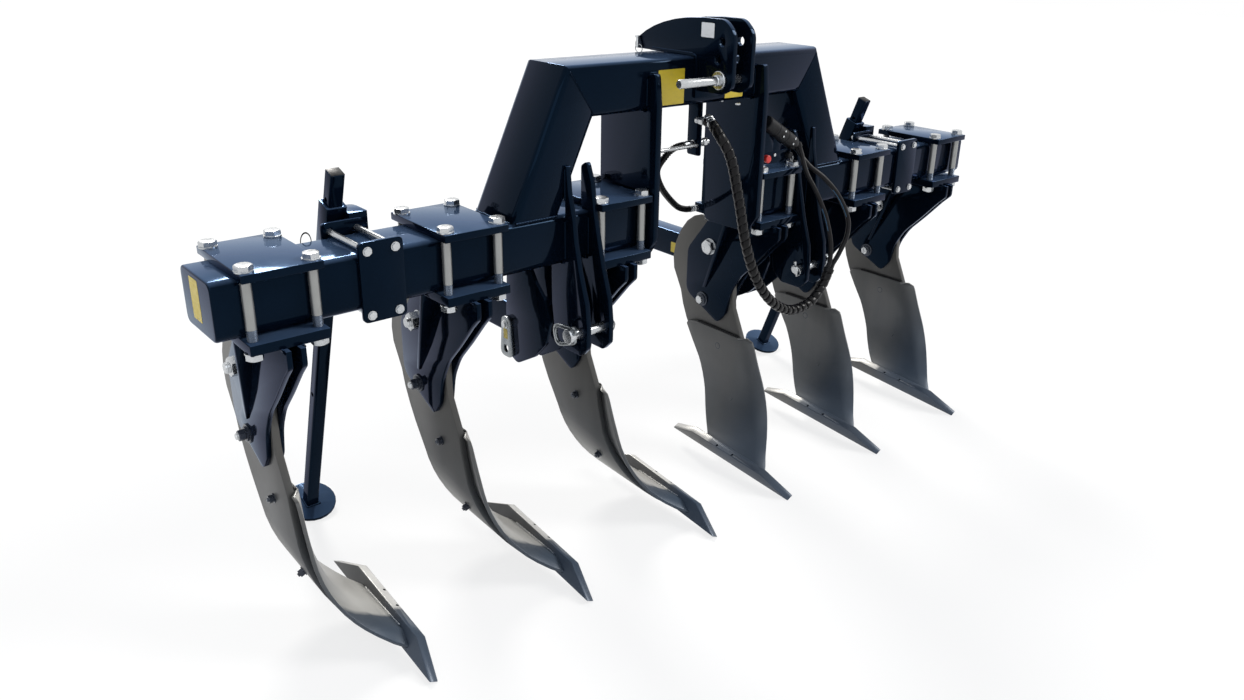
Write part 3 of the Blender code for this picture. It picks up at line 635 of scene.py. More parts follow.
hoses, routes, ends = {}, {}, {}
for name, hose in hoseRoutes.items():
    tube = routeCurve(name + "_tube", hose["radius"], hose["points"])
    tube.data.materials.append(finishes[hose["finish"]])
    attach(tube, "frame")
    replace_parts(tube, name)
    hoses[name] = tube
    routes[name] = routeFrames(hose["points"], 14)
    ends[name] = routes[name][-1][0]
    print(name, "length", round(ends[name], 3))

# Flat spiral wrap on the bundle, and the ribbed guard on the centre hose
wrapBand = {"pitch": 0.0250, "half": 0.0123, "inner": 0.0136, "outer": 0.0165, "lapped": 0.0154}
inner, outer, half = wrapBand["inner"], wrapBand["outer"], wrapBand["half"]
bundleWrap = woundPiece(
    "hose_bundle_wrap", routes["hose_bundle"], 0.030, ends["hose_bundle"] - 0.014, wrapBand["pitch"],
    [(inner, -half), (outer - 0.0005, -half), (outer, -half + 0.0010), (outer, -half + 0.0070),
     (wrapBand["lapped"], half - 0.0015), (inner, half)], 20)
guardRib = {"pitch": 0.0085, "inner": 0.0084, "outer": 0.0108}
inner, outer = guardRib["inner"], guardRib["outer"]
centreGuard = woundPiece(
    "hose_centre_guard", routes["hose_centre"], 0.040, ends["hose_centre"] - 0.035, guardRib["pitch"],
    [(inner, -0.0032), (outer - 0.0004, -0.0024), (outer, 0.0), (outer - 0.0004, 0.0024), (inner, 0.0032)], 14)

# Crimped sleeves where hoses meet fittings: (radius, height) steps of one pattern, 34 mm long
crimpSteps = [(0.0088, 0.0), (0.0112, 0.0008), (0.0116, 0.002), (0.0116, 0.006), (0.0104, 0.0075),
              (0.0104, 0.0095), (0.0116, 0.011), (0.0116, 0.0150), (0.0104, 0.0165), (0.0104, 0.0185),
              (0.0116, 0.020), (0.0116, 0.0255), (0.0107, 0.0270), (0.0095, 0.0275), (0.0095, 0.0335),
              (0.0088, 0.034)]
crimp = keepMesh(turnedShape(crimpSteps, 20), "crimpPattern")
unionNut = keepMesh(hexShape(0.55, True), "unionPattern")


def crimpAt(name, run, onward, size=1.0):
    here, ahead = frameAt(routes[name], run)[:2]
    return crimp, placed(here, ahead if onward else -ahead, size, size)


def sleeveOn(name, back, length, radius, pieceName):
    here, ahead = frameAt(routes[name], ends[name] - back)[:2]
    steps = [(radius * 0.86, 0.0), (radius, 0.0012), (radius, length - 0.0012), (radius * 0.86, length)]
    return settle(turnedShape(steps, 20, placed(here, ahead)), pieceName, "plastic")


# Thin printed line that follows the outside of a hose
def printedLine(name, start, end):
    stripe = {"count": 40, "angle": math.radians(150), "radius": 0.0076, "thick": 0.0008}
    curve = startCurve(name + "_stripe", stripe["thick"], 1)
    runs = [start + (end - start) * k / (stripe["count"] - 1) for k in range(stripe["count"])]
    addLine(curve, [besideRoute(routes[name], run, stripe["angle"], stripe["radius"]) for run in runs])
    return settle(meshFromCurve(name + "_stripe", curve), name + "_stripe", "blue")


bundleCrimp = gather("hose_bundle_crimp", [crimpAt("hose_bundle", 0.034, False, 1.34)])
centreCrimps = gather("hose_centre_crimps", [crimpAt("hose_centre", 0.040, False),
                                             crimpAt("hose_centre", ends["hose_centre"] - 0.036, True)])
bundleTape = sleeveOn("hose_bundle", 0.030, 0.012, 0.0172, "hose_bundle_tape")
bundleCollar = sleeveOn("hose_bundle", 0.016, 0.015, 0.0180, "hose_bundle_collar")
sleeveA, sleeveB = [sleeveOn(name, 0.018, 0.016, 0.0104, name + "_sleeve")
                    for name in ("hose_upper_a", "hose_upper_b")]
cordPieces = {"hose_bundle": [bundleWrap, bundleCrimp, bundleTape, bundleCollar],
              "hose_upper_a": [sleeveA, printedLine("hose_upper_a", 0.13, 0.21)],
              "hose_upper_b": [sleeveB, printedLine("hose_upper_b", 0.19, 0.30)],
              "hose_centre": [centreGuard, centreCrimps]}
print("hoses laid")

# Painted frame pieces: width, segments and angle of their rounded edges
softNodes = {"frame_beam_left": (0.0055, 3, 60.0), "frame_beam_right": (0.0055, 3, 60.0),
             "arch_slope_left": (0.0010,), "arch_slope_right": (0.0010,), "arch_top_beam": (0.0010,),
             "inner_plate_left": (0.0025,), "inner_plate_right": (0.0025,),
             "stand_holder_left": (0.0012,), "stand_holder_right": (0.0012,)}
beamEnd, labelThick = 1.459, 0.0004
for node, edge in softNodes.items():
    piece = softCopy(node, *edge)
    for vertex in piece.data.vertices:      # beam ends stand back by a label's thickness
        if abs(vertex.co.x) > beamEnd - labelThick:
            vertex.co.x = math.copysign(beamEnd - labelThick, vertex.co.x)
    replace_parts(settle(piece, node + "_painted", "navy", recalc=False), node)

# Hitch fins: the outer one stands on the arch, the inner one leans back over the beam
finSet = {"x": 0.471, "gap": 0.065, "thick": 0.015, "pinY": -0.160, "pinZ": -0.356, "pinRadius": 0.0143,
          "edge": 0.0020}
finLow = [(-0.158, -0.180), (-0.188, -0.268), (-0.195, -0.330), (-0.194, -0.395), (-0.165, -0.424),
          (-0.085, -0.424), (-0.045, -0.395), (-0.032, -0.300), (-0.032, -0.1703), (-0.0953, -0.1703)]
finLowRadii = [0.06, 0.05, 0.03, 0.02, 0.02, 0.02, 0.03, 0.03, 0, 0]
finOutlines = {
    "outer": filletOutline([(-0.0953, 0.104), (-0.1020, 0.104), (-0.1100, 0.034), (-0.1300, -0.040),
                            (-0.1380, -0.100)] + finLow, [0.002, 0.004, 0.05, 0.04, 0.05] + finLowRadii),
    "inner": filletOutline([(-0.0953, -0.0296), (-0.0620, -0.0296), (-0.0620, 0.090), (-0.0860, 0.106),
                            (-0.1080, 0.050), (-0.1200, -0.030), (-0.1340, -0.090)] + finLow,
                           [0, 0, 0.012, 0.012, 0.06, 0.05, 0.05] + finLowRadii),
}
halves = ((-1, "right"), (1, "left"))
for side, word in halves:
    for part, near in (("inner", finSet["x"] - finSet["gap"] / 2 - finSet["thick"]),
                       ("outer", finSet["x"] + finSet["gap"] / 2)):
        far = near + finSet["thick"]
        hole = at(side * (near + far) / 2, finSet["pinY"], finSet["pinZ"])
        fin = drillHole(sidePlate(finOutlines[part], side, near, far), hole, finSet["pinRadius"], 0.03, 28)
        node = "hitch_plate_%s_%s" % (word, part)
        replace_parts(settle(roundEdges(fin, finSet["edge"], 3), node + "_painted", "navy", recalc=False), node)

# Top link plates with the long arched back, on a saddle bent over the top bar
topPlate = {"near": 0.030, "far": 0.045, "holes": ((-0.194, 0.306), (-0.194, 0.410), (-0.180, 0.360)),
            "holeRadius": 0.0129, "edge": 0.0020}
topOutline = filletOutline(
    [(0.173, 0.3625), (0.173, 0.381), (0.155, 0.399), (0.126, 0.417), (0.091, 0.433), (0.050, 0.447),
     (0.002, 0.4585), (-0.050, 0.4665), (-0.115, 0.4705), (-0.200, 0.4710), (-0.2395, 0.436), (-0.2400, 0.286),
     (-0.200, 0.266), (-0.0953, 0.266), (-0.0953, 0.3625)],
    [0.004, 0.012, 0.03, 0.03, 0.03, 0.03, 0.03, 0.03, 0.03, 0.05, 0.05, 0.03, 0.02, 0, 0])
for side, word in halves:
    plate = sidePlate(topOutline, side, topPlate["near"], topPlate["far"])
    for y, z in topPlate["holes"]:
        middle = side * (topPlate["near"] + topPlate["far"]) / 2
        plate = drillHole(plate, at(middle, y, z), topPlate["holeRadius"], 0.03, 28)
    node = "top_link_plate_" + word
    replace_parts(settle(roundEdges(plate, topPlate["edge"], 3), node + "_painted", "navy", recalc=False), node)
saddleOutline = filletOutline(
    [(0.098, 0.3622), (0.098, 0.3692), (-0.1022, 0.3692), (-0.1022, 0.2450), (-0.0952, 0.2450),
     (-0.0952, 0.3622)],
    [0.001, 0.001, 0.022, 0.001, 0.001, 0.015])
settle(roundEdges(cutPlate(saddleOutline, "x", -0.050, 0.050), 0.0012), "top_saddle", "navy")
print("painted frame done")

# Blades, wear plates and shares
legX = {"r1": -1.312, "r2": -0.8205, "r3": -0.329, "l3": 0.329, "l2": 0.8205, "l1": 1.312}
bladeSet = {"bendStart": -0.785, "bendRadius": 0.245, "bendEnd": math.radians(66.0),
            "climb": math.tan(math.radians(2.6)), "climbFrom": -0.280, "outerFace": -0.010,
            "innerFace": 0.0223, "bolts": ((0.088, -0.693), (-0.006, -0.870))}
shareSet = {"tip": (0.152, -0.404, -1.0441), "tilt": math.radians(26.0), "pitch": math.radians(5.2),
            "skew": 0.015, "height": 0.056, "thick": 0.027, "holes": (0.241, 0.314), "holeRadius": 0.0045}


def inwardOf(cx):
    return 1 if cx < 0 else -1


# Across, height and lean of the blade at a share of its bend, an offset from its middle and a y
def onBlade(step, offset, y):
    angle = bladeSet["bendEnd"] * step
    u = bladeSet["bendRadius"] * (1 - math.cos(angle)) + offset * math.cos(angle)
    z = bladeSet["bendStart"] - bladeSet["bendRadius"] * math.sin(angle) + offset * math.sin(angle)
    return u, z + (y - bladeSet["climbFrom"]) * bladeSet["climb"], angle


def onShare(along, side, height):
    u, y, z = shareSet["tip"]
    tilt = shareSet["tilt"]
    return (u + math.sin(tilt) * height + math.cos(tilt) * side + along * shareSet["skew"],
            y + along * math.cos(shareSet["pitch"]),
            z + math.cos(tilt) * height - math.sin(tilt) * side + along * math.sin(shareSet["pitch"]))


# Where the face at this offset runs into the share, found by halving
def meetShare(offset, y):
    back = (y - shareSet["tip"][1]) / math.cos(shareSet["pitch"])
    low, high = 0.80, 1.20
    for k in range(24):
        step = (low + high) / 2
        u, z = onBlade(step, offset, y)[:2]
        depth = ((u - shareSet["tip"][0] - back * shareSet["skew"]) * math.cos(shareSet["tilt"])
                 - (z - shareSet["tip"][2] - back * math.sin(shareSet["pitch"])) * math.sin(shareSet["tilt"]))
        if depth < -shareSet["thick"] / 2:
            low = step
        else:
            high = step
    return onBlade(low, offset, y)


# What each leg is dressed from: the new name, finish and edge for each solid
legPieces = {"leg_": ("blade_", "blade", 0.0022), "wear_plate_": ("wear_face_", "wear", 0.0011),
             "share_": ("share_bar_", "share", 0.0022)}
for key, cx in legX.items():
    for node, (name, finish, edge) in legPieces.items():
        piece = softCopy(node + key, edge, 2, 32.0)
        if node == "share_":
            inward, tilt = inwardOf(cx), shareSet["tilt"]
            for along in shareSet["holes"]:
                u, y, z = onShare(along, 0.006, shareSet["height"])
                piece = drillHole(piece, at(cx + inward * u, y, z), shareSet["holeRadius"], 0.012, 16,
                                  (inward * math.sin(tilt), 0, math.cos(tilt)))
        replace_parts(settle(piece, name + key, finish, angle=40.0, recalc=False), node + key)
print("legs done")

# Fastener patterns, one unit across and long where they aren't hexagons
hexHead = keepMesh(hexShape(0.40, False), "hexHeadPattern")
hexNut = keepMesh(hexShape(0.62, True), "hexNutPattern")
washer = keepMesh(turnedShape([(0.94, 0.0), (1.0, 0.06), (1.0, 0.94), (0.94, 1.0)], 32), "washerPattern")
shank = keepMesh(turnedShape([(1.0, 0.0), (1.0, 1.0)], 20), "shankPattern")
tipSteps = [(0.93, 0.0), (1.0, 0.05), (0.93, 0.2), (1.0, 0.35), (0.93, 0.5), (1.0, 0.65),
            (0.93, 0.8), (0.86, 1.0)]
boltTip = keepMesh(turnedShape(tipSteps, 18), "boltTipPattern")
threadTurns = 14
threadSteps = [(0.93, 0.0)]
for k in range(threadTurns):
    threadSteps += [(radius, (k + part) / threadTurns) for radius, part in ((1.0, 0.3), (1.0, 0.5), (0.93, 0.9))]
thread = keepMesh(turnedShape(threadSteps, 16), "threadPattern")
print("fastener patterns ready")

# Countersunk bolts through blade and wear plate: dark nuts outside, flush plugs on the wear face
plugBolt = {"washer": (0.0135, 0.0025), "flats": 0.0190, "tip": (0.0055, 0.0050), "rim": (0.0118, 0.0012),
            "plug": (0.0096, 0.0014), "sunk": 0.0010}
for key, cx in legX.items():
    inward = inwardOf(cx)
    nuts, rims, plugs = [], [], []
    for y, z in bladeSet["bolts"]:
        for offset, way in ((bladeSet["outerFace"], -1), (bladeSet["innerFace"], 1)):
            u, height, angle = offset, z, 0.0
            if z < bladeSet["bendStart"]:
                fall = bladeSet["bendStart"] - z + (y - bladeSet["climbFrom"]) * bladeSet["climb"]
                step = math.asin(fall / bladeSet["bendRadius"]) / bladeSet["bendEnd"]
                u, height, angle = onBlade(step, offset, y)
            here = at(cx + inward * u, y, height)
            out = Vector((inward * math.cos(angle), 0.0, math.sin(angle))) * way
            if way < 0:
                nuts += [(washer, placed(here, out, *plugBolt["washer"])),
                         (hexNut, placed(here + out * 0.0025, out, plugBolt["flats"], plugBolt["flats"],
                                         0.2 + y)),
                         (boltTip, placed(here + out * 0.0135, out, *plugBolt["tip"]))]
            else:
                rims.append((washer, placed(here - out * plugBolt["sunk"], out, *plugBolt["rim"])))
                plugs.append((washer, placed(here - out * plugBolt["sunk"], out, *plugBolt["plug"])))
    gather("blade_nuts_" + key, nuts, "nutDark")
    gather("blade_plug_rims_" + key, rims, "nutDark")
    gather("blade_plugs_" + key, plugs, "wear")
print("blade bolts done")

# Leg clamps over the beam; "turns" sets how the heads happen to stand
clampSet = {"halfX": 0.0925, "halfY": 0.138, "topLow": -0.0297, "topHigh": -0.0100, "lowLow": -0.197,
            "lowHigh": -0.172, "edge": 0.0022, "rodX": 0.075, "rodY": 0.1095, "rodRadius": 0.012,
            "flats": 0.036, "headTall": 0.031, "nutTall": 0.0242, "nutHeight": 0.0150, "tipLength": 0.0035,
            "washerRadius": 0.0215, "washerThick": 0.0035, "threadLength": 0.028,
            "turns": (0.15, 0.62, 0.33, 0.90, 0.05, 0.48, 0.77, 0.27)}


def clampPlate(cx, low, high):
    reachX, reachY = clampSet["halfX"], clampSet["halfY"]
    return roundEdges(cubeBetween((cx - reachX, -reachY, low), (cx + reachX, reachY, high)), clampSet["edge"], 3)


for order, (key, cx) in enumerate(legX.items()):
    clamp = clampSet
    plate = settle(clampPlate(cx, clamp["topLow"], clamp["topHigh"]), "clamp_plate_" + key, "navy")
    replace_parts(plate, "clamp_" + key)
    ring = (up, clamp["washerRadius"], clamp["washerThick"])
    lowRing = clamp["lowLow"] - clamp["washerThick"]
    rodFoot = clamp["lowHigh"] + clamp["threadLength"]
    bolts, rods, threads = [], [], []
    for i, (sideX, sideY) in enumerate(((-1, -1), (1, -1), (-1, 1), (1, 1))):
        x, y = cx + sideX * clamp["rodX"], sideY * clamp["rodY"]
        turn = clamp["turns"][(order * 3 + i) % len(clamp["turns"])]
        nutFoot = at(x, y, lowRing - clamp["nutHeight"])
        bolts += [(washer, placed(at(x, y, clamp["topHigh"]), *ring)),
                  (hexHead, placed(at(x, y, clamp["topHigh"] + clamp["washerThick"]), up, clamp["flats"],
                                   clamp["headTall"], turn)),
                  (washer, placed(at(x, y, lowRing), *ring)),
                  (hexNut, placed(nutFoot, up, clamp["flats"], clamp["nutTall"], turn + 0.4)),
                  (boltTip, placed(nutFoot, down, clamp["rodRadius"] * 0.95, clamp["tipLength"]))]
        rods.append((shank, placed(at(x, y, rodFoot), up, clamp["rodRadius"], clamp["topLow"] - rodFoot)))
        threads.append((thread, placed(at(x, y, clamp["lowHigh"] + 0.0003), up, clamp["rodRadius"] * 0.985,
                                       clamp["threadLength"])))
    gather("clamp_bolts_" + key, bolts)
    gather("clamp_rods_" + key, rods, "rod")
    gather("clamp_threads_" + key, threads, "thread")
print("clamps done")

# Leg brackets: low plate, cheeks, ribs, and the pivot and shear bolts (y, z, flats, tip, washer)
bracketSet = {"cheekIn": 0.0106, "cheekThick": 0.013, "ribReach": 0.052, "ribFront": 0.023, "ribBack": 0.037,
              "ribTop": -0.1965, "ribLow": -0.490, "ribLean": 0.138, "ribTip": 0.005, "edge": 0.0018,
              "pivot": (0.148, -0.332, 0.046, 0.015, 0.62), "shear": (0.176, -0.537, 0.027, 0.009, 0.98),
              "washers": (0.004, 0.005)}
cheekOutline = filletOutline(
    [(0.135, -0.1965), (0.205, -0.290), (0.262, -0.365), (0.262, -0.528), (0.096, -0.606), (0.060, -0.560),
     (0.044, -0.480), (0.008, -0.416), (-0.060, -0.345), (-0.125, -0.272), (-0.158, -0.240), (-0.158, -0.1965)],
    [0, 0.05, 0.06, 0.05, 0.022, 0.05, 0.16, 0.20, 0.16, 0.03, 0.02, 0], 8)
for key, cx in legX.items():
    bracket = bracketSet
    face = bracket["cheekIn"] + bracket["cheekThick"]
    plate = settle(clampPlate(cx, clampSet["lowLow"], clampSet["lowHigh"]), "bracket_plate_" + key, "navy")
    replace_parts(plate, "leg_bracket_" + key)
    cheeks, ribs = [], []
    for side in (-1, 1):
        low, high = sorted((cx + side * bracket["cheekIn"], cx + side * face))
        cheeks.append(roundEdges(cutPlate(cheekOutline, "x", low, high), bracket["edge"]))
    settle(joinPieces(cheeks), "bracket_cheeks_" + key, "navy")
    for side in (-1, 1):
        root = cx + side * (face - 0.001)
        low, high = sorted((root, root + side * bracket["ribReach"]))
        rib = cubeBetween((low, bracket["ribFront"], bracket["ribLow"]),
                          (high, bracket["ribBack"], bracket["ribTop"]))
        for vertex in rib.data.vertices:      # lean the low end back and draw it in to the cheek
            if vertex.co.z < datum.z - 0.3:
                vertex.co.y += bracket["ribLean"]
                if abs(vertex.co.x - root) > 0.01:
                    vertex.co.x = root + side * bracket["ribTip"]
        ribs.append(roundEdges(rib, bracket["edge"]))
    settle(joinPieces(ribs), "bracket_ribs_" + key, "navy")
    # heads towards the middle of the machine, nuts outside; the shear bolt has dark washers and nut
    bright, dark = [], []
    firstWasher, secondWasher = bracket["washers"]
    for kind in ("pivot", "shear"):
        y, z, flats, tip, ring = bracket[kind]
        for side in (-1, 1):
            here = at(cx + side * face, y, z)
            out = Vector((side, 0, 0))
            start = here + out * (firstWasher + secondWasher if kind == "shear" else firstWasher)
            tinted = dark if kind == "shear" else bright
            tinted.append((washer, placed(here, out, flats * ring, firstWasher)))
            if kind == "shear":
                dark.append((washer, placed(here + out * firstWasher, out, flats * 0.74, secondWasher)))
            if side == inwardOf(cx):
                bright.append((hexHead, placed(start, out, flats, flats * 0.95, 0.3)))
            else:
                tinted.append((hexNut, placed(start, out, flats, flats, 0.1)))
                bright.append((boltTip, placed(start + out * flats * 0.6, out, tip, flats * 0.25)))
    gather("leg_bolts_" + key, bright)
    gather("leg_washers_" + key, dark, "nutDark")
print("leg brackets done")

# Parking stands: the foot disc is welded square to its leaning tube
standSet = {"x": {"right": -1.06625, "left": 1.06625}, "topY": 0.110, "topZ": 0.122, "lean": math.radians(20.0),
            "tube": 0.038, "footRadius": 0.070, "footSeen": 0.078, "footThick": 0.010, "rim": 0.055, "edge": 0.0012,
            "holeRadius": 0.0075, "holes": (0.078, 0.30, 0.44, 0.74),
            "capLow": (-0.0175, -0.0175, -0.002), "capHigh": (0.0175, 0.0175, 0.0016)}
lean = standSet["lean"]
leanDown = Vector((0.0, math.sin(lean), -math.cos(lean)))


# Where the tube's axis is in y, at a height over the ground
def axisY(height):
    return standSet["topY"] + datum.y + (standSet["topZ"] + datum.z - height) * math.tan(lean)


# Turn a point of the level foot square to the tube, and lift it so that its front edge is on the ground
def onFoot(cx, point):
    half = standSet["footThick"] / 2
    middle = Vector((cx, axisY(half), half))
    lift = standSet["footSeen"] * math.sin(lean) + half * math.cos(lean) - half + 0.0002
    return middle - leanDown * (lift / math.cos(lean)) + Matrix.Rotation(lean, 3, "X") @ (Vector(point) - middle)


for word, cx in standSet["x"].items():
    body = "stand_" + word
    node = "parking_stand_" + word
    piece = softCopy(node, standSet["edge"])
    footY = axisY(0.0)
    wider = standSet["footSeen"] / standSet["footRadius"]
    for vertex in piece.data.vertices:
        if vertex.co.z < standSet["footThick"] + 0.0025:
            if Vector((vertex.co.x - cx, vertex.co.y - footY)).length > standSet["rim"]:
                vertex.co.x = cx + (vertex.co.x - cx) * wider
                vertex.co.y = footY + (vertex.co.y - footY) * wider
            else:       # the tube's level end turns square with the disc, so its sides stay parallel
                squareY = axisY(standSet["footThick"] / 2)
                vertex.co.y = squareY + (vertex.co.y - axisY(vertex.co.z)) * math.cos(lean)
            vertex.co = onFoot(cx, vertex.co)
    top = at(cx, standSet["topY"], standSet["topZ"])
    for run in standSet["holes"]:
        piece = drillHole(piece, top + leanDown * run, standSet["holeRadius"], 0.06, 20)
    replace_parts(settle(piece, "stand_tube_" + word, "navy", body), node)
    cap = roundEdges(cubeBetween(standSet["capLow"], standSet["capHigh"], Vector()), 0.0010)
    cap.data.transform(Matrix.Translation(top) @ Matrix.Rotation(lean, 4, "X"))
    settle(cap, "stand_cap_" + word, "plastic", body)
print("stands done")

# Stand clamps: front plate and long bolts, the upper ones with nuts in view
standClamp = {"halfX": 0.057, "low": -0.198, "high": 0.002, "front": -0.1073, "thick": 0.012, "corner": 0.014,
              "edge": 0.0015, "boltX": 0.036, "boltZ": (-0.0203, -0.1797), "boltRadius": 0.008, "back": 0.0950,
              "washer": (0.0115, 0.0020), "head": (0.0175, 0.0115), "nut": (0.0195, 0.017), "nutY": 0.1055,
              "tip": (0.007, 0.006), "tipY": 0.116}
for word, cx in standSet["x"].items():
    clamp = standClamp
    rear = clamp["front"] + clamp["thick"]
    outline = filletOutline(rectangle(cx - clamp["halfX"], clamp["low"], cx + clamp["halfX"], clamp["high"]),
                            clamp["corner"])
    plate = roundEdges(cutPlate(outline, "y", clamp["front"], rear), clamp["edge"])
    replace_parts(settle(plate, "stand_clamp_plate_" + word, "navy"), "stand_clamp_" + word)
    bolts = []
    for sideX in (-1, 1):
        x = cx + sideX * clamp["boltX"]
        for z in clamp["boltZ"]:
            bolts += [(washer, placed(at(x, clamp["front"], z), forward, *clamp["washer"])),
                      (hexHead, placed(at(x, clamp["front"] - 0.0022, z), forward, *clamp["head"], 0.2 + x)),
                      (shank, placed(at(x, rear, z), backward, clamp["boltRadius"], clamp["back"] - rear))]
            if z > -0.1:
                bolts += [(hexNut, placed(at(x, clamp["nutY"], z), backward, *clamp["nut"], 0.3)),
                          (boltTip, placed(at(x, clamp["tipY"], z), backward, *clamp["tip"]))]
    gather("stand_clamp_bolts_" + word, bolts)
print("stand clamps done")

# Lower hitch pins, each with a flat swing handle, its folded block and a spring clip
hitchSet = {"x": 0.471, "half": 0.0475, "y": -0.160, "z": -0.356, "radius": 0.014, "stickOut": 0.026,
            "handleThick": 0.0095, "drop": math.radians(-14.0), "blockTurn": math.radians(32.0)}
gripOutline = filletOutline([(-0.020, -0.024), (-0.020, 0.024), (0.080, 0.036), (0.080, -0.036)],
                            [0.018, 0.018, 0.034, 0.034], 8)
gripHole = filletOutline([(-0.004, -0.013), (-0.004, 0.013), (0.067, 0.024), (0.067, -0.024)],
                         [0.010, 0.010, 0.023, 0.023], 8)
hitch = hitchSet
gripOutline, gripHole = [
    [(hitch["y"] + y * math.cos(hitch["drop"]) - z * math.sin(hitch["drop"]),
      hitch["z"] + y * math.sin(hitch["drop"]) + z * math.cos(hitch["drop"])) for y, z in outline]
    for outline in (gripOutline, gripHole)]
length = 2 * hitch["half"] + 2 * hitch["stickOut"]
pinSteps = [(0.0115, 0.0), (hitch["radius"], 0.003), (hitch["radius"], length - 0.004), (0.0165, length - 0.004),
            (0.0215, length - 0.001), (0.0220, length), (0.0220, length + 0.015), (0.0200, length + 0.0178),
            (0.0120, length + 0.0184)]
crossSteps = [(0.0032, -0.024), (0.0040, -0.022), (0.0040, 0.020), (0.0056, 0.0205), (0.0056, 0.027),
              (0.0040, 0.028)]
for side, word in halves:
    start = at(side * (hitch["x"] - hitch["half"] - hitch["stickOut"]), hitch["y"], hitch["z"])
    pin = turnedShape(pinSteps, 32, placed(start, (side, 0, 0)))
    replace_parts(settle(pin, "hitch_pin_shaft_" + word, "zinc"), "hitch_pin_" + word)
    near = hitch["x"] + hitch["half"] + 0.0245
    far = near + hitch["handleThick"]
    handle = cutWith(sidePlate(gripOutline, side, near, far), sidePlate(gripHole, side, near - 0.01, far + 0.01))
    block = cubeBetween((-0.0075, -0.011, -0.026), (0.0075, 0.011, 0.026), Vector())
    groove = cubeBetween((-0.0085, -0.0035, -0.030), (0.0085, 0.0035, 0.030), Vector((side * 0.0125, 0.0, 0.0)))
    block = roundEdges(cutWith(block, groove), 0.002)
    block.data.transform(Matrix.Translation(at(side * (near + 0.005), hitch["y"] - 0.006, hitch["z"] + 0.004))
                         @ Matrix.Rotation(hitch["blockTurn"], 4, "X"))
    settle(joinPieces([roundEdges(handle, 0.0030, 3), block]), "hitch_pin_handle_" + word, "shackle",
           recalc=False)
    clip = wireRing(0.0185, 0.0016, 36,
                    placed(start + Vector((side * 0.010, 0.0, -0.004)), (0.94 * side, 0.0, 0.34)))
    crossPin = turnedShape(crossSteps, 14, placed(start + Vector((side * 0.010, 0.0, 0.0)), (0.0, 0.25, 1.0)))
    settle(joinPieces([clip, crossPin]), "hitch_pin_clip_" + word, "zinc")
print("lower pins done")

# Top link pin with its flange and spring clip
topPin = {"y": -0.194, "z": 0.306, "radius": 0.0125, "low": -0.205, "high": 0.079, "flange": -0.054,
          "clipX": 0.066}
flangeAt, tipAt = topPin["flange"] - topPin["low"], topPin["high"] - topPin["low"]
pinSteps = [(0.0105, 0.0), (topPin["radius"], 0.003), (topPin["radius"], flangeAt - 0.012),
            (0.0150, flangeAt - 0.010), (0.0160, flangeAt - 0.0005), (0.0245, flangeAt),
            (0.0260, flangeAt + 0.0012), (0.0260, flangeAt + 0.0065), (0.0245, flangeAt + 0.0078), (topPin["radius"], flangeAt + 0.0080),
            (topPin["radius"], tipAt - 0.003), (0.0105, tipAt)]
pin = turnedShape(pinSteps, 36, placed(at(topPin["low"], topPin["y"], topPin["z"]), (1, 0, 0)))
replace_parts(settle(pin, "top_pin_shaft", "zinc"), "top_link_pin")
clip = wireRing(0.0185, 0.0018, 36,
                placed(at(topPin["clipX"], topPin["y"] - 0.004, topPin["z"] - 0.004), (0.92, -0.2, 0.34)))
crossSteps = [(0.0036, -0.026), (0.0045, -0.024), (0.0045, 0.020), (0.0062, 0.0205), (0.0062, 0.030),
              (0.0045, 0.031)]
crossPin = turnedShape(crossSteps, 14, placed(at(topPin["clipX"], topPin["y"], topPin["z"]), (0.0, -0.15, 1.0)))
settle(joinPieces([clip, crossPin]), "top_pin_clip", "zinc")
print("top pin done")

# Rear arms: sector plates on the beam, the bar with its end plate, and the hanging link
armSet = {"x": 0.471, "halfX": 0.038, "halfZ": 0.050, "z": -0.428, "front": 0.110, "rear": 0.740,
          "plates": (-0.0485, 0.0365), "plateThick": 0.012, "linkNear": 0.0480, "linkFar": 0.0600,
          "boltY": 0.193, "boltZ": -0.436,
          "washer": (0.014, 0.002), "head": (0.019, 0.018), "shank": (0.008, 0.012), "shankX": 0.037}
sectorOutline = filletOutline(
    [(0.190, -0.1703), (0.205, -0.400), (0.200, -0.535), (0.150, -0.556), (0.060, -0.505), (0.000, -0.445),
     (-0.024, -0.366), (0.002, -0.308), (0.050, -0.262), (0.075, -0.225), (0.075, -0.1703)],
    [0, 0.04, 0.03, 0.03, 0.05, 0.05, 0.05, 0.05, 0.05, 0.03, 0])
linkOutline = filletOutline([(0.172, -0.412), (0.214, -0.412), (0.226, -0.545), (0.162, -0.545)], 0.022)
linkEye = filletOutline([(0.182, -0.506), (0.206, -0.506), (0.206, -0.530), (0.182, -0.530)], 0.012)
arm = armSet
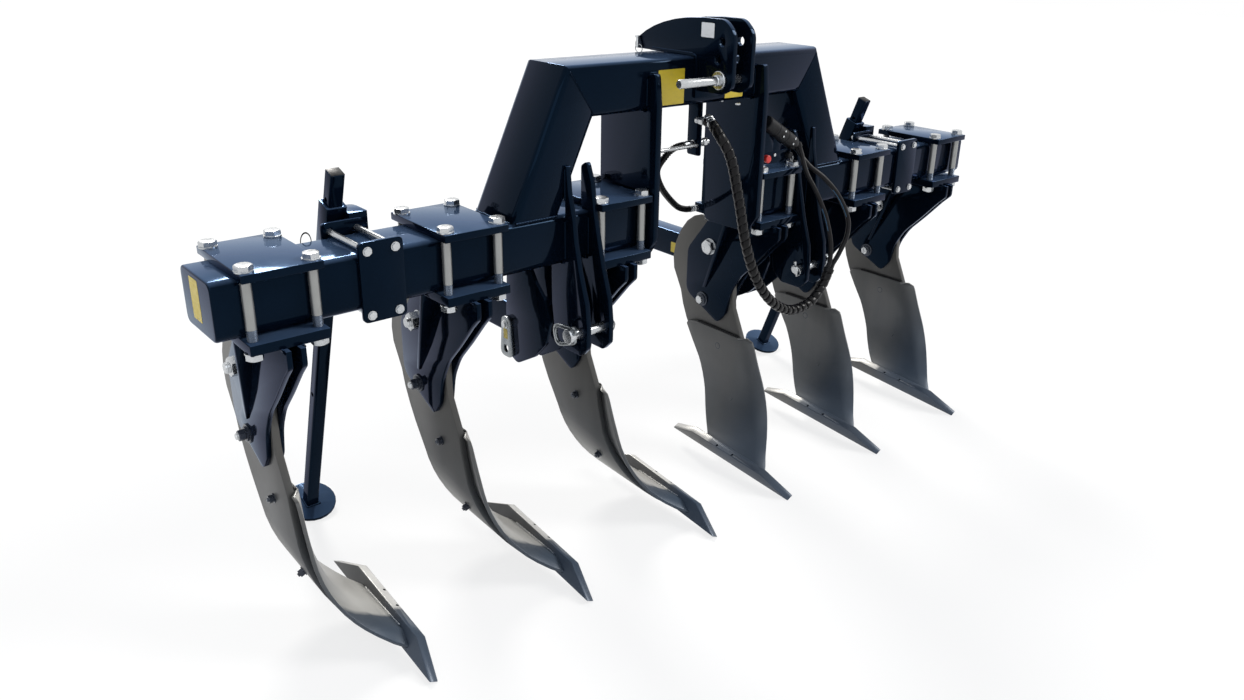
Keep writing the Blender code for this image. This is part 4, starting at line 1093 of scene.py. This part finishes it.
for side, word in halves:
    plates = []
    for offset in arm["plates"]:
        near = arm["x"] + offset
        plates.append(roundEdges(sidePlate(sectorOutline, side, near, near + arm["plateThick"]), 0.0015))
    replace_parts(settle(joinPieces(plates), "arm_sector_" + word, "navy"), "rear_arm_" + word)
    for name, front, rear, inset, edge, segments in (
            ("arm_bar_", arm["front"], arm["rear"] - 0.006, 0.0, 0.008, 4),
            ("arm_end_", arm["rear"] - 0.0065, arm["rear"], 0.002, 0.002, 2)):
        halfX, halfZ = arm["halfX"] - inset, arm["halfZ"] - inset
        bar = cubeBetween((side * arm["x"] - halfX, front, arm["z"] - halfZ),
                          (side * arm["x"] + halfX, rear, arm["z"] + halfZ))
        settle(roundEdges(bar, edge, segments), name + word, "navy")
    near, far = arm["x"] + arm["linkNear"], arm["x"] + arm["linkFar"]
    link = cutWith(sidePlate(linkOutline, side, near, far), sidePlate(linkEye, side, near - 0.01, far + 0.01))
    settle(roundEdges(link, 0.0018), "arm_link_" + word, "shackle")
    out, y, z = (side, 0, 0), arm["boltY"], arm["boltZ"]
    root = side * (arm["x"] + arm["shankX"])
    gather("arm_link_bolt_" + word, [(washer, placed(at(side * far, y, z), out, *arm["washer"])),
                                     (hexHead, placed(at(side * (far + 0.002), y, z), out, *arm["head"], 0.4)),
                                     (shank, placed(at(root, y, z), out, *arm["shank"]))])
print("rear arms done")

# Hose bracket under the top bar, with its fittings and the long rod beside it
hangOutline = filletOutline(rectangle(-0.066, 0.060, -0.010, 0.2217), [0.010, 0.010, 0, 0])
hangPlate = roundEdges(cutPlate(hangOutline, "x", 0.015, 0.021), 0.0010)
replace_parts(settle(hangPlate, "hose_bracket_plate", "navy", slot=None), "hose_bracket")
rodSteps = [(0.0040, 0.0), (0.0060, 0.002), (0.0060, 0.211), (0.0048, 0.213)]
settle(turnedShape(rodSteps, 18, placed(at(-0.198, -0.056, 0.093), (1, 0, 0))), "hose_bracket_rod", "zinc")
fittingSteps = [(0.0085, 0.0), (0.0110, 0.0010), (0.0110, 0.0100), (0.0090, 0.0110), (0.0090, 0.0140),
                (0.0124, 0.0150), (0.0124, 0.0230), (0.0095, 0.0240), (0.0095, 0.0400)]
fitting = keepMesh(turnedShape(fittingSteps, 20), "fittingPattern")
gather("hose_bracket_fittings", [
    (fitting, placed(at(0.018, -0.045, 0.168), forward)),
    (unionNut, placed(at(0.018, -0.066, 0.168), forward, 0.0245, 0.024, 0.2)),
    (fitting, placed(at(0.0123, -0.036, 0.095), (1, 0, 0))),
    (fitting, placed(at(0.075, -0.036, 0.095), (-1, 0, 0))),
    (unionNut, placed(at(0.0225, -0.036, 0.095), (1, 0, 0), 0.0235, 0.022, 0.5)),
    (unionNut, placed(at(0.052, -0.036, 0.095), (1, 0, 0), 0.0235, 0.026, 0.1))])

# Coupling holder on the left inner plate: the leaning plug, its bar, caps, screws and ring
low, high = at(0.390, -0.120, 0.066), at(0.247, -0.120, 0.149)
along = high - low
length = along.length
plugSteps = [(0.0150, 0.0), (0.0205, 0.001), (0.0235, 0.010), (0.0240, 0.012), (0.0240, 0.060), (0.0222, 0.062),
             (0.0222, 0.066), (0.0240, 0.068), (0.0240, 0.112), (0.0225, 0.114), (0.0225, 0.118), (0.0240, 0.120),
             (0.0240, length - 0.003), (0.0215, length)]
plug = turnedShape(plugSteps, 32, placed(low, along))
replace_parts(settle(plug, "coupling_plug", "plastic", slot="frame_paint"), "coupling_holder")
holderPlates = [(rectangle(0.2303, 0.014, 0.382, 0.052), [0, 0.012, 0.012, 0], -0.118, -0.112),
                (rectangle(0.292, 0.046, 0.330, 0.110), 0.004, -0.1178, -0.1122),
                ([(0.2305, 0.046), (0.300, 0.046), (0.292, 0.150), (0.2305, 0.185)], [0, 0.004, 0.02, 0],
                 -0.1176, -0.1124)]
settle(joinPieces([roundEdges(cutPlate(filletOutline(outline, radii), "y", front, rear), 0.001)
                   for outline, radii, front, rear in holderPlates]), "coupling_bar", "navy")
for name, x, radius, finish in (("coupling_cap_red", 0.258, 0.0125, "red"),
                                ("coupling_stub", 0.364, 0.011, "plastic")):
    stubSteps = [(radius * 0.9, 0.0), (radius, 0.0015), (radius, 0.014), (radius * 0.8, 0.0165),
                 (radius * 0.45, 0.017)]
    settle(turnedShape(stubSteps, 24, placed(at(x, -0.118, 0.033), forward)), name, finish)
across = along.normalized().cross(Vector((0, 1, 0)))
screwSet = {"runs": (0.030, 0.088), "lifts": (-0.008, 0.010), "out": -0.0225, "size": (0.0062, 0.006)}
screws = []
for run in screwSet["runs"]:
    for lift in screwSet["lifts"]:
        spot = low + along.normalized() * run + Vector((0, screwSet["out"], 0)) + across * lift
        screws.append((hexHead, placed(spot, forward, *screwSet["size"])))
gather("coupling_screws", screws + [(hexHead, placed(at(0.300, -0.118, 0.040), forward, 0.010, 0.010)),
                                    (hexHead, placed(at(0.322, -0.118, 0.100), forward, 0.008, 0.008))])
settle(wireRing(0.013, 0.0013, 32, placed(at(0.378, -0.126, 0.024), (0.4, -0.9, 0.2))), "coupling_ring", "zinc")

# Pale tie along the front edge of the left inner plate, with red ends
tieSet = {"x": 0.2325, "thick": 0.0035, "outline": [
    (-0.117, 0.200), (-0.109, 0.200), (-0.105, 0.150), (-0.101, 0.110), (-0.097, 0.064), (-0.105, 0.064),
    (-0.109, 0.110), (-0.113, 0.150)]}
tie = cutPlate(filletOutline(tieSet["outline"], 0.002), "x", tieSet["x"] - 0.002, tieSet["x"] + tieSet["thick"])
settle(roundEdges(tie, 0.0006), "cable_tie", "white")
tieEndSteps = [(0.0040, 0.0), (0.0050, 0.0010), (0.0050, 0.0150), (0.0040, 0.0160)]
for name, z, y in (("cable_tie_end_top", 0.207, -0.1135), ("cable_tie_end_low", 0.058, -0.1005)):
    place = placed(at(tieSet["x"] + 0.001, y + 0.001, z - 0.008), (0.0, -0.12, 1.0))
    settle(turnedShape(tieEndSteps, 16, place), name, "red")
print("coupling holder done")

# Wire loop behind the right stand clamp, and the spring clip kept at the rear corner of the top plates
wireLoop = {"place": (-1.158, 0.1085, -0.040), "across": 0.0135, "tall": 0.0235, "wire": 0.0014}
loopPlace = (Matrix.Translation(at(*wireLoop["place"])) @ Matrix.Rotation(math.radians(90.0), 4, "X")
             @ Matrix.Diagonal((wireLoop["across"], wireLoop["tall"], wireLoop["wire"] / 0.09, 1.0)))
settle(wireRing(1.0, 0.09, 40, loopPlace), "stand_wire_loop", "plastic")
keyRing = wireRing(0.0125, 0.0013, 32, placed(at(-0.0505, 0.150, 0.362), (1.0, 0.25, 0.1)))
keyPin = turnedShape([(0.0030, 0.0), (0.0042, 0.0015), (0.0042, 0.030), (0.0070, 0.0305), (0.0070, 0.0345),
                      (0.0055, 0.0360)], 16, placed(at(-0.0550, 0.152, 0.3645), (0.10, 0.12, 1.0)))
settle(joinPieces([keyRing, keyPin]), "top_spare_clip", "zinc")
gather("top_bar_screws", [(hexHead, placed(at(0.103, -0.130, 0.2215), down, 0.013, 0.012, 0.2)),
                          (hexHead, placed(at(0.108, -0.055, 0.2215), down, 0.013, 0.012, 0.7))])

# Blank labels: the face they lie on, two corners, the finish and the way out
labels = {
    "label_beam_end_right": ("x", labelThick - beamEnd, (-0.016, -0.143, 0.037, -0.043), "yellow", -1),
    "label_beam_end_left": ("x", beamEnd - labelThick, (-0.016, -0.143, 0.037, -0.043), "yellow", 1),
    "label_top_beam_a": ("y", -0.095, (-0.190, 0.233, -0.089, 0.332), "yellow", -1),
    "label_top_beam_b": ("y", -0.095, (0.081, 0.233, 0.158, 0.330), "yellow", -1),
    "label_top_link": ("x", -0.045, (-0.162, 0.418, -0.111, 0.458), "white", -1),
    "label_arm_link": ("x", -0.531, (0.183, -0.485, 0.204, -0.452), "yellow", -1),
    "label_rear_arm": ("x", 0.433, (0.440, -0.460, 0.485, -0.420), "yellow", -1),
}
for name, (axis, level, corners, finish, way) in labels.items():
    low, high = sorted((level, level + way * labelThick))
    settle(cutPlate(filletOutline(rectangle(*corners), 0.003, 4), axis, low, high), name, finish)
print("labels done")


# Weld beads, rippled along their paths
def beadPiece(name, paths, radius, finish="navy", body="frame"):
    curve = startCurve(name, radius, 1)
    for path in paths:
        line = []
        for a, b in zip(path, path[1:]):
            count = max(int((b - a).length / (radius * 0.9)), 1)
            line += [a.lerp(b, k / count) for k in range(count)]
        addLine(curve, line + [path[-1]], (1.0, 1.12, 0.88))
    return settle(meshFromCurve(name, curve), name, finish, body, angle=60.0)


slope = math.radians(65.0)
footOut = 0.505 + (0.362 + 0.030) / math.tan(slope)
footIn = footOut - 0.140 / math.sin(slope)
# Seams across the frame at one x: (x, y, z, y, z), the same on both halves
crossSeams = [(footOut, -0.080, -0.030, 0.080, -0.030), (footIn, -0.080, -0.030, 0.080, -0.030),
              (0.230, -0.078, -0.029, 0.078, -0.029), (0.230, -0.0955, -0.045, -0.0955, -0.155),
              (0.230, 0.0955, -0.045, 0.0955, -0.155), (0.209, -0.085, 0.2215, 0.085, 0.2215),
              (0.231, -0.085, 0.2215, 0.085, 0.2215), (0.209, -0.0955, 0.238, -0.0955, 0.312),
              (0.231, -0.0955, 0.238, -0.0955, 0.312)]
for x in (0.423, 0.4385, 0.5035, 0.5185):       # hitch plates to the beam's front and underside
    crossSeams += [(x, -0.0958, -0.050, -0.0958, -0.155), (x, -0.080, -0.1705, -0.040, -0.1705)]
crossSeams.append((0.5185, -0.0958, 0.095, -0.0958, 0.010))
for x in (0.0298, 0.0452):                      # top link plates to the top bar
    crossSeams += [(x, 0.092, 0.3694, -0.082, 0.3694), (x, -0.0955, 0.345, -0.0955, 0.275)]
framePaths, mitrePaths = [], []
for side in (-1, 1):
    for face in (-1, 1):
        mitrePaths.append([at(side * 0.4990, face * 0.0950, 0.344), at(side * 0.4200, face * 0.0950, 0.232)])
        framePaths.append([at(side * (footIn + 0.01), face * 0.0945, -0.030),
                           at(side * (footOut - 0.01), face * 0.0945, -0.030)])
    framePaths += [[at(side * x, y, z), at(side * x, farY, farZ)] for x, y, z, farY, farZ in crossSeams]
beadPiece("frame_welds", framePaths, 0.0032)
beadPiece("arch_mitre_welds", mitrePaths, 0.0015)

bracketPaths = []
for cx in legX.values():
    for side in (-1, 1):
        x = cx + side * (bracketSet["cheekIn"] + bracketSet["cheekThick"] + 0.0008)
        for y, farY in ((-0.148, 0.016), (0.044, 0.128)):
            bracketPaths.append([at(x, y, -0.1975), at(x, farY, -0.1975)])
beadPiece("bracket_welds", bracketPaths, 0.0034)

for word, cx in standSet["x"].items():
    half = standSet["tube"] / 2 + 0.001
    deep = half / math.cos(lean)
    weldY, z = axisY(0.0) - 0.0035, standSet["footThick"] + 0.0005
    corners = ((-1, -1), (1, -1), (1, 1), (-1, 1), (-1, -1))
    loop = [onFoot(cx, (cx + a * half, weldY + b * deep, z)) for a, b in corners]
    beadPiece("stand_foot_weld_" + word, [loop], 0.0034, "navy", "stand_" + word)

# Long rippled seams between the blade, its wear plate and the share, and a black line in the step over the wear
# plate's top edge that is painted shade
shareSeam = {"front": -0.226, "back": -0.036, "steps": 12, "radius": 0.0036}
wearShadeLine = {"u": 0.0150, "front": -0.004, "back": 0.198, "z": -0.6325, "radius": 0.0042}
for key, cx in legX.items():
    inward = inwardOf(cx)
    seams = []
    for offset in (bladeSet["innerFace"], bladeSet["outerFace"]):
        path = []
        for k in range(shareSeam["steps"] + 1):
            y = shareSeam["front"] + (shareSeam["back"] - shareSeam["front"]) * k / shareSeam["steps"]
            u, z = meetShare(offset, y)[:2]
            path.append(at(cx + inward * u, y, z))
        seams.append(path)
    beadPiece("share_welds_" + key, seams, shareSeam["radius"], "bead")
    # black bead in the step over the wear plate's top edge: painted shade
    shadeLine = [at(cx + inward * wearShadeLine["u"], y, wearShadeLine["z"]) for y in (wearShadeLine["front"], wearShadeLine["back"])]
    beadPiece("wear_top_gap_" + key, [shadeLine], wearShadeLine["radius"], "plastic")
print("welds done")


# White where the camera, a reflection or glass looks, and the shader's own light where light is gathered
def whiteWhereSeen(tree, own, kind, output, share=1.0):
    rays = tree.nodes.new("ShaderNodeLightPath").outputs
    looked = combine(tree, "MAXIMUM", rays["Is Camera Ray"], rays["Is Glossy Ray"])
    looked = combine(tree, "MAXIMUM", looked, rays["Is Transmission Ray"])
    white = addNode(tree, kind, Color=(1.0, 1.0, 1.0, 1.0), Strength=1.0)
    mixer = tree.nodes.new("ShaderNodeMixShader")
    for socket, source in zip(mixer.inputs, (combine(tree, "MULTIPLY", looked, share), own, white.outputs[0])):
        tree.links.new(source, socket)
    tree.links.new(mixer.outputs[0], tree.nodes[output].inputs["Surface"])


# The pale floor is mostly white to the camera, and keeps a soft shadow
floorFinish, tree, shader = startFinish("studioFloor", (0.86, 0.86, 0.86), 0.8)
patches = spread(tree, addGrain(tree, 0.8, 2.0), 0.0, 1.0)
floorTone = blendColours(tree, patches, (0.86, 0.86, 0.86), (0.88, 0.88, 0.88))
tree.links.new(floorTone, shader.inputs["Base Color"])
whiteWhereSeen(tree, shader.outputs[0], "ShaderNodeEmission", "Material Output", 0.78)
clearSelection()
bpy.ops.mesh.primitive_plane_add(size=60.0, location=(0.0, 0.0, -0.0005))
floor = bpy.context.object
floor.name = "studioFloor"
floor.data.materials.append(floorFinish)

world = bpy.data.worlds.new("studio")
world.use_nodes = True
scene.world = world
background = world.node_tree.nodes["Background"]
background.inputs["Color"].default_value = (0.82, 0.89, 1.0, 1.0)
background.inputs["Strength"].default_value = 0.44
whiteWhereSeen(world.node_tree, background.outputs[0], "ShaderNodeBackground", "World Output")

lamps = {
    "keySun": {"kind": "SUN", "from": (1.2, 3.2, 3.3), "energy": 2.6, "spread": math.radians(16.0),
               "colour": (1.0, 0.97, 0.92)},
    "sideSun": {"kind": "SUN", "from": (4.0, -2.5, 3.80), "energy": 2.2, "spread": math.radians(24.0),
                "colour": (1.0, 0.98, 0.95)},
    "fillPanel": {"kind": "AREA", "from": (-3.4, -2.4, 3.4), "energy": 26.0, "spread": 2.8,
                  "colour": (0.84, 0.92, 1.0)},
}
for name, lamp in lamps.items():
    data = bpy.data.lights.new(name, lamp["kind"])
    data.energy = lamp["energy"]
    data.color = lamp["colour"]
    if lamp["kind"] == "SUN":
        data.angle = lamp["spread"]
    else:
        data.size = lamp["spread"]
    light = newPiece(name, data)
    light.location = lamp["from"]
    light.rotation_mode = "QUATERNION"
    light.rotation_quaternion = (Vector((0.0, 0.0, 0.5)) - Vector(lamp["from"])).to_track_quat("-Z", "Y")
scene.view_settings.view_transform = "Standard"
print("studio set")
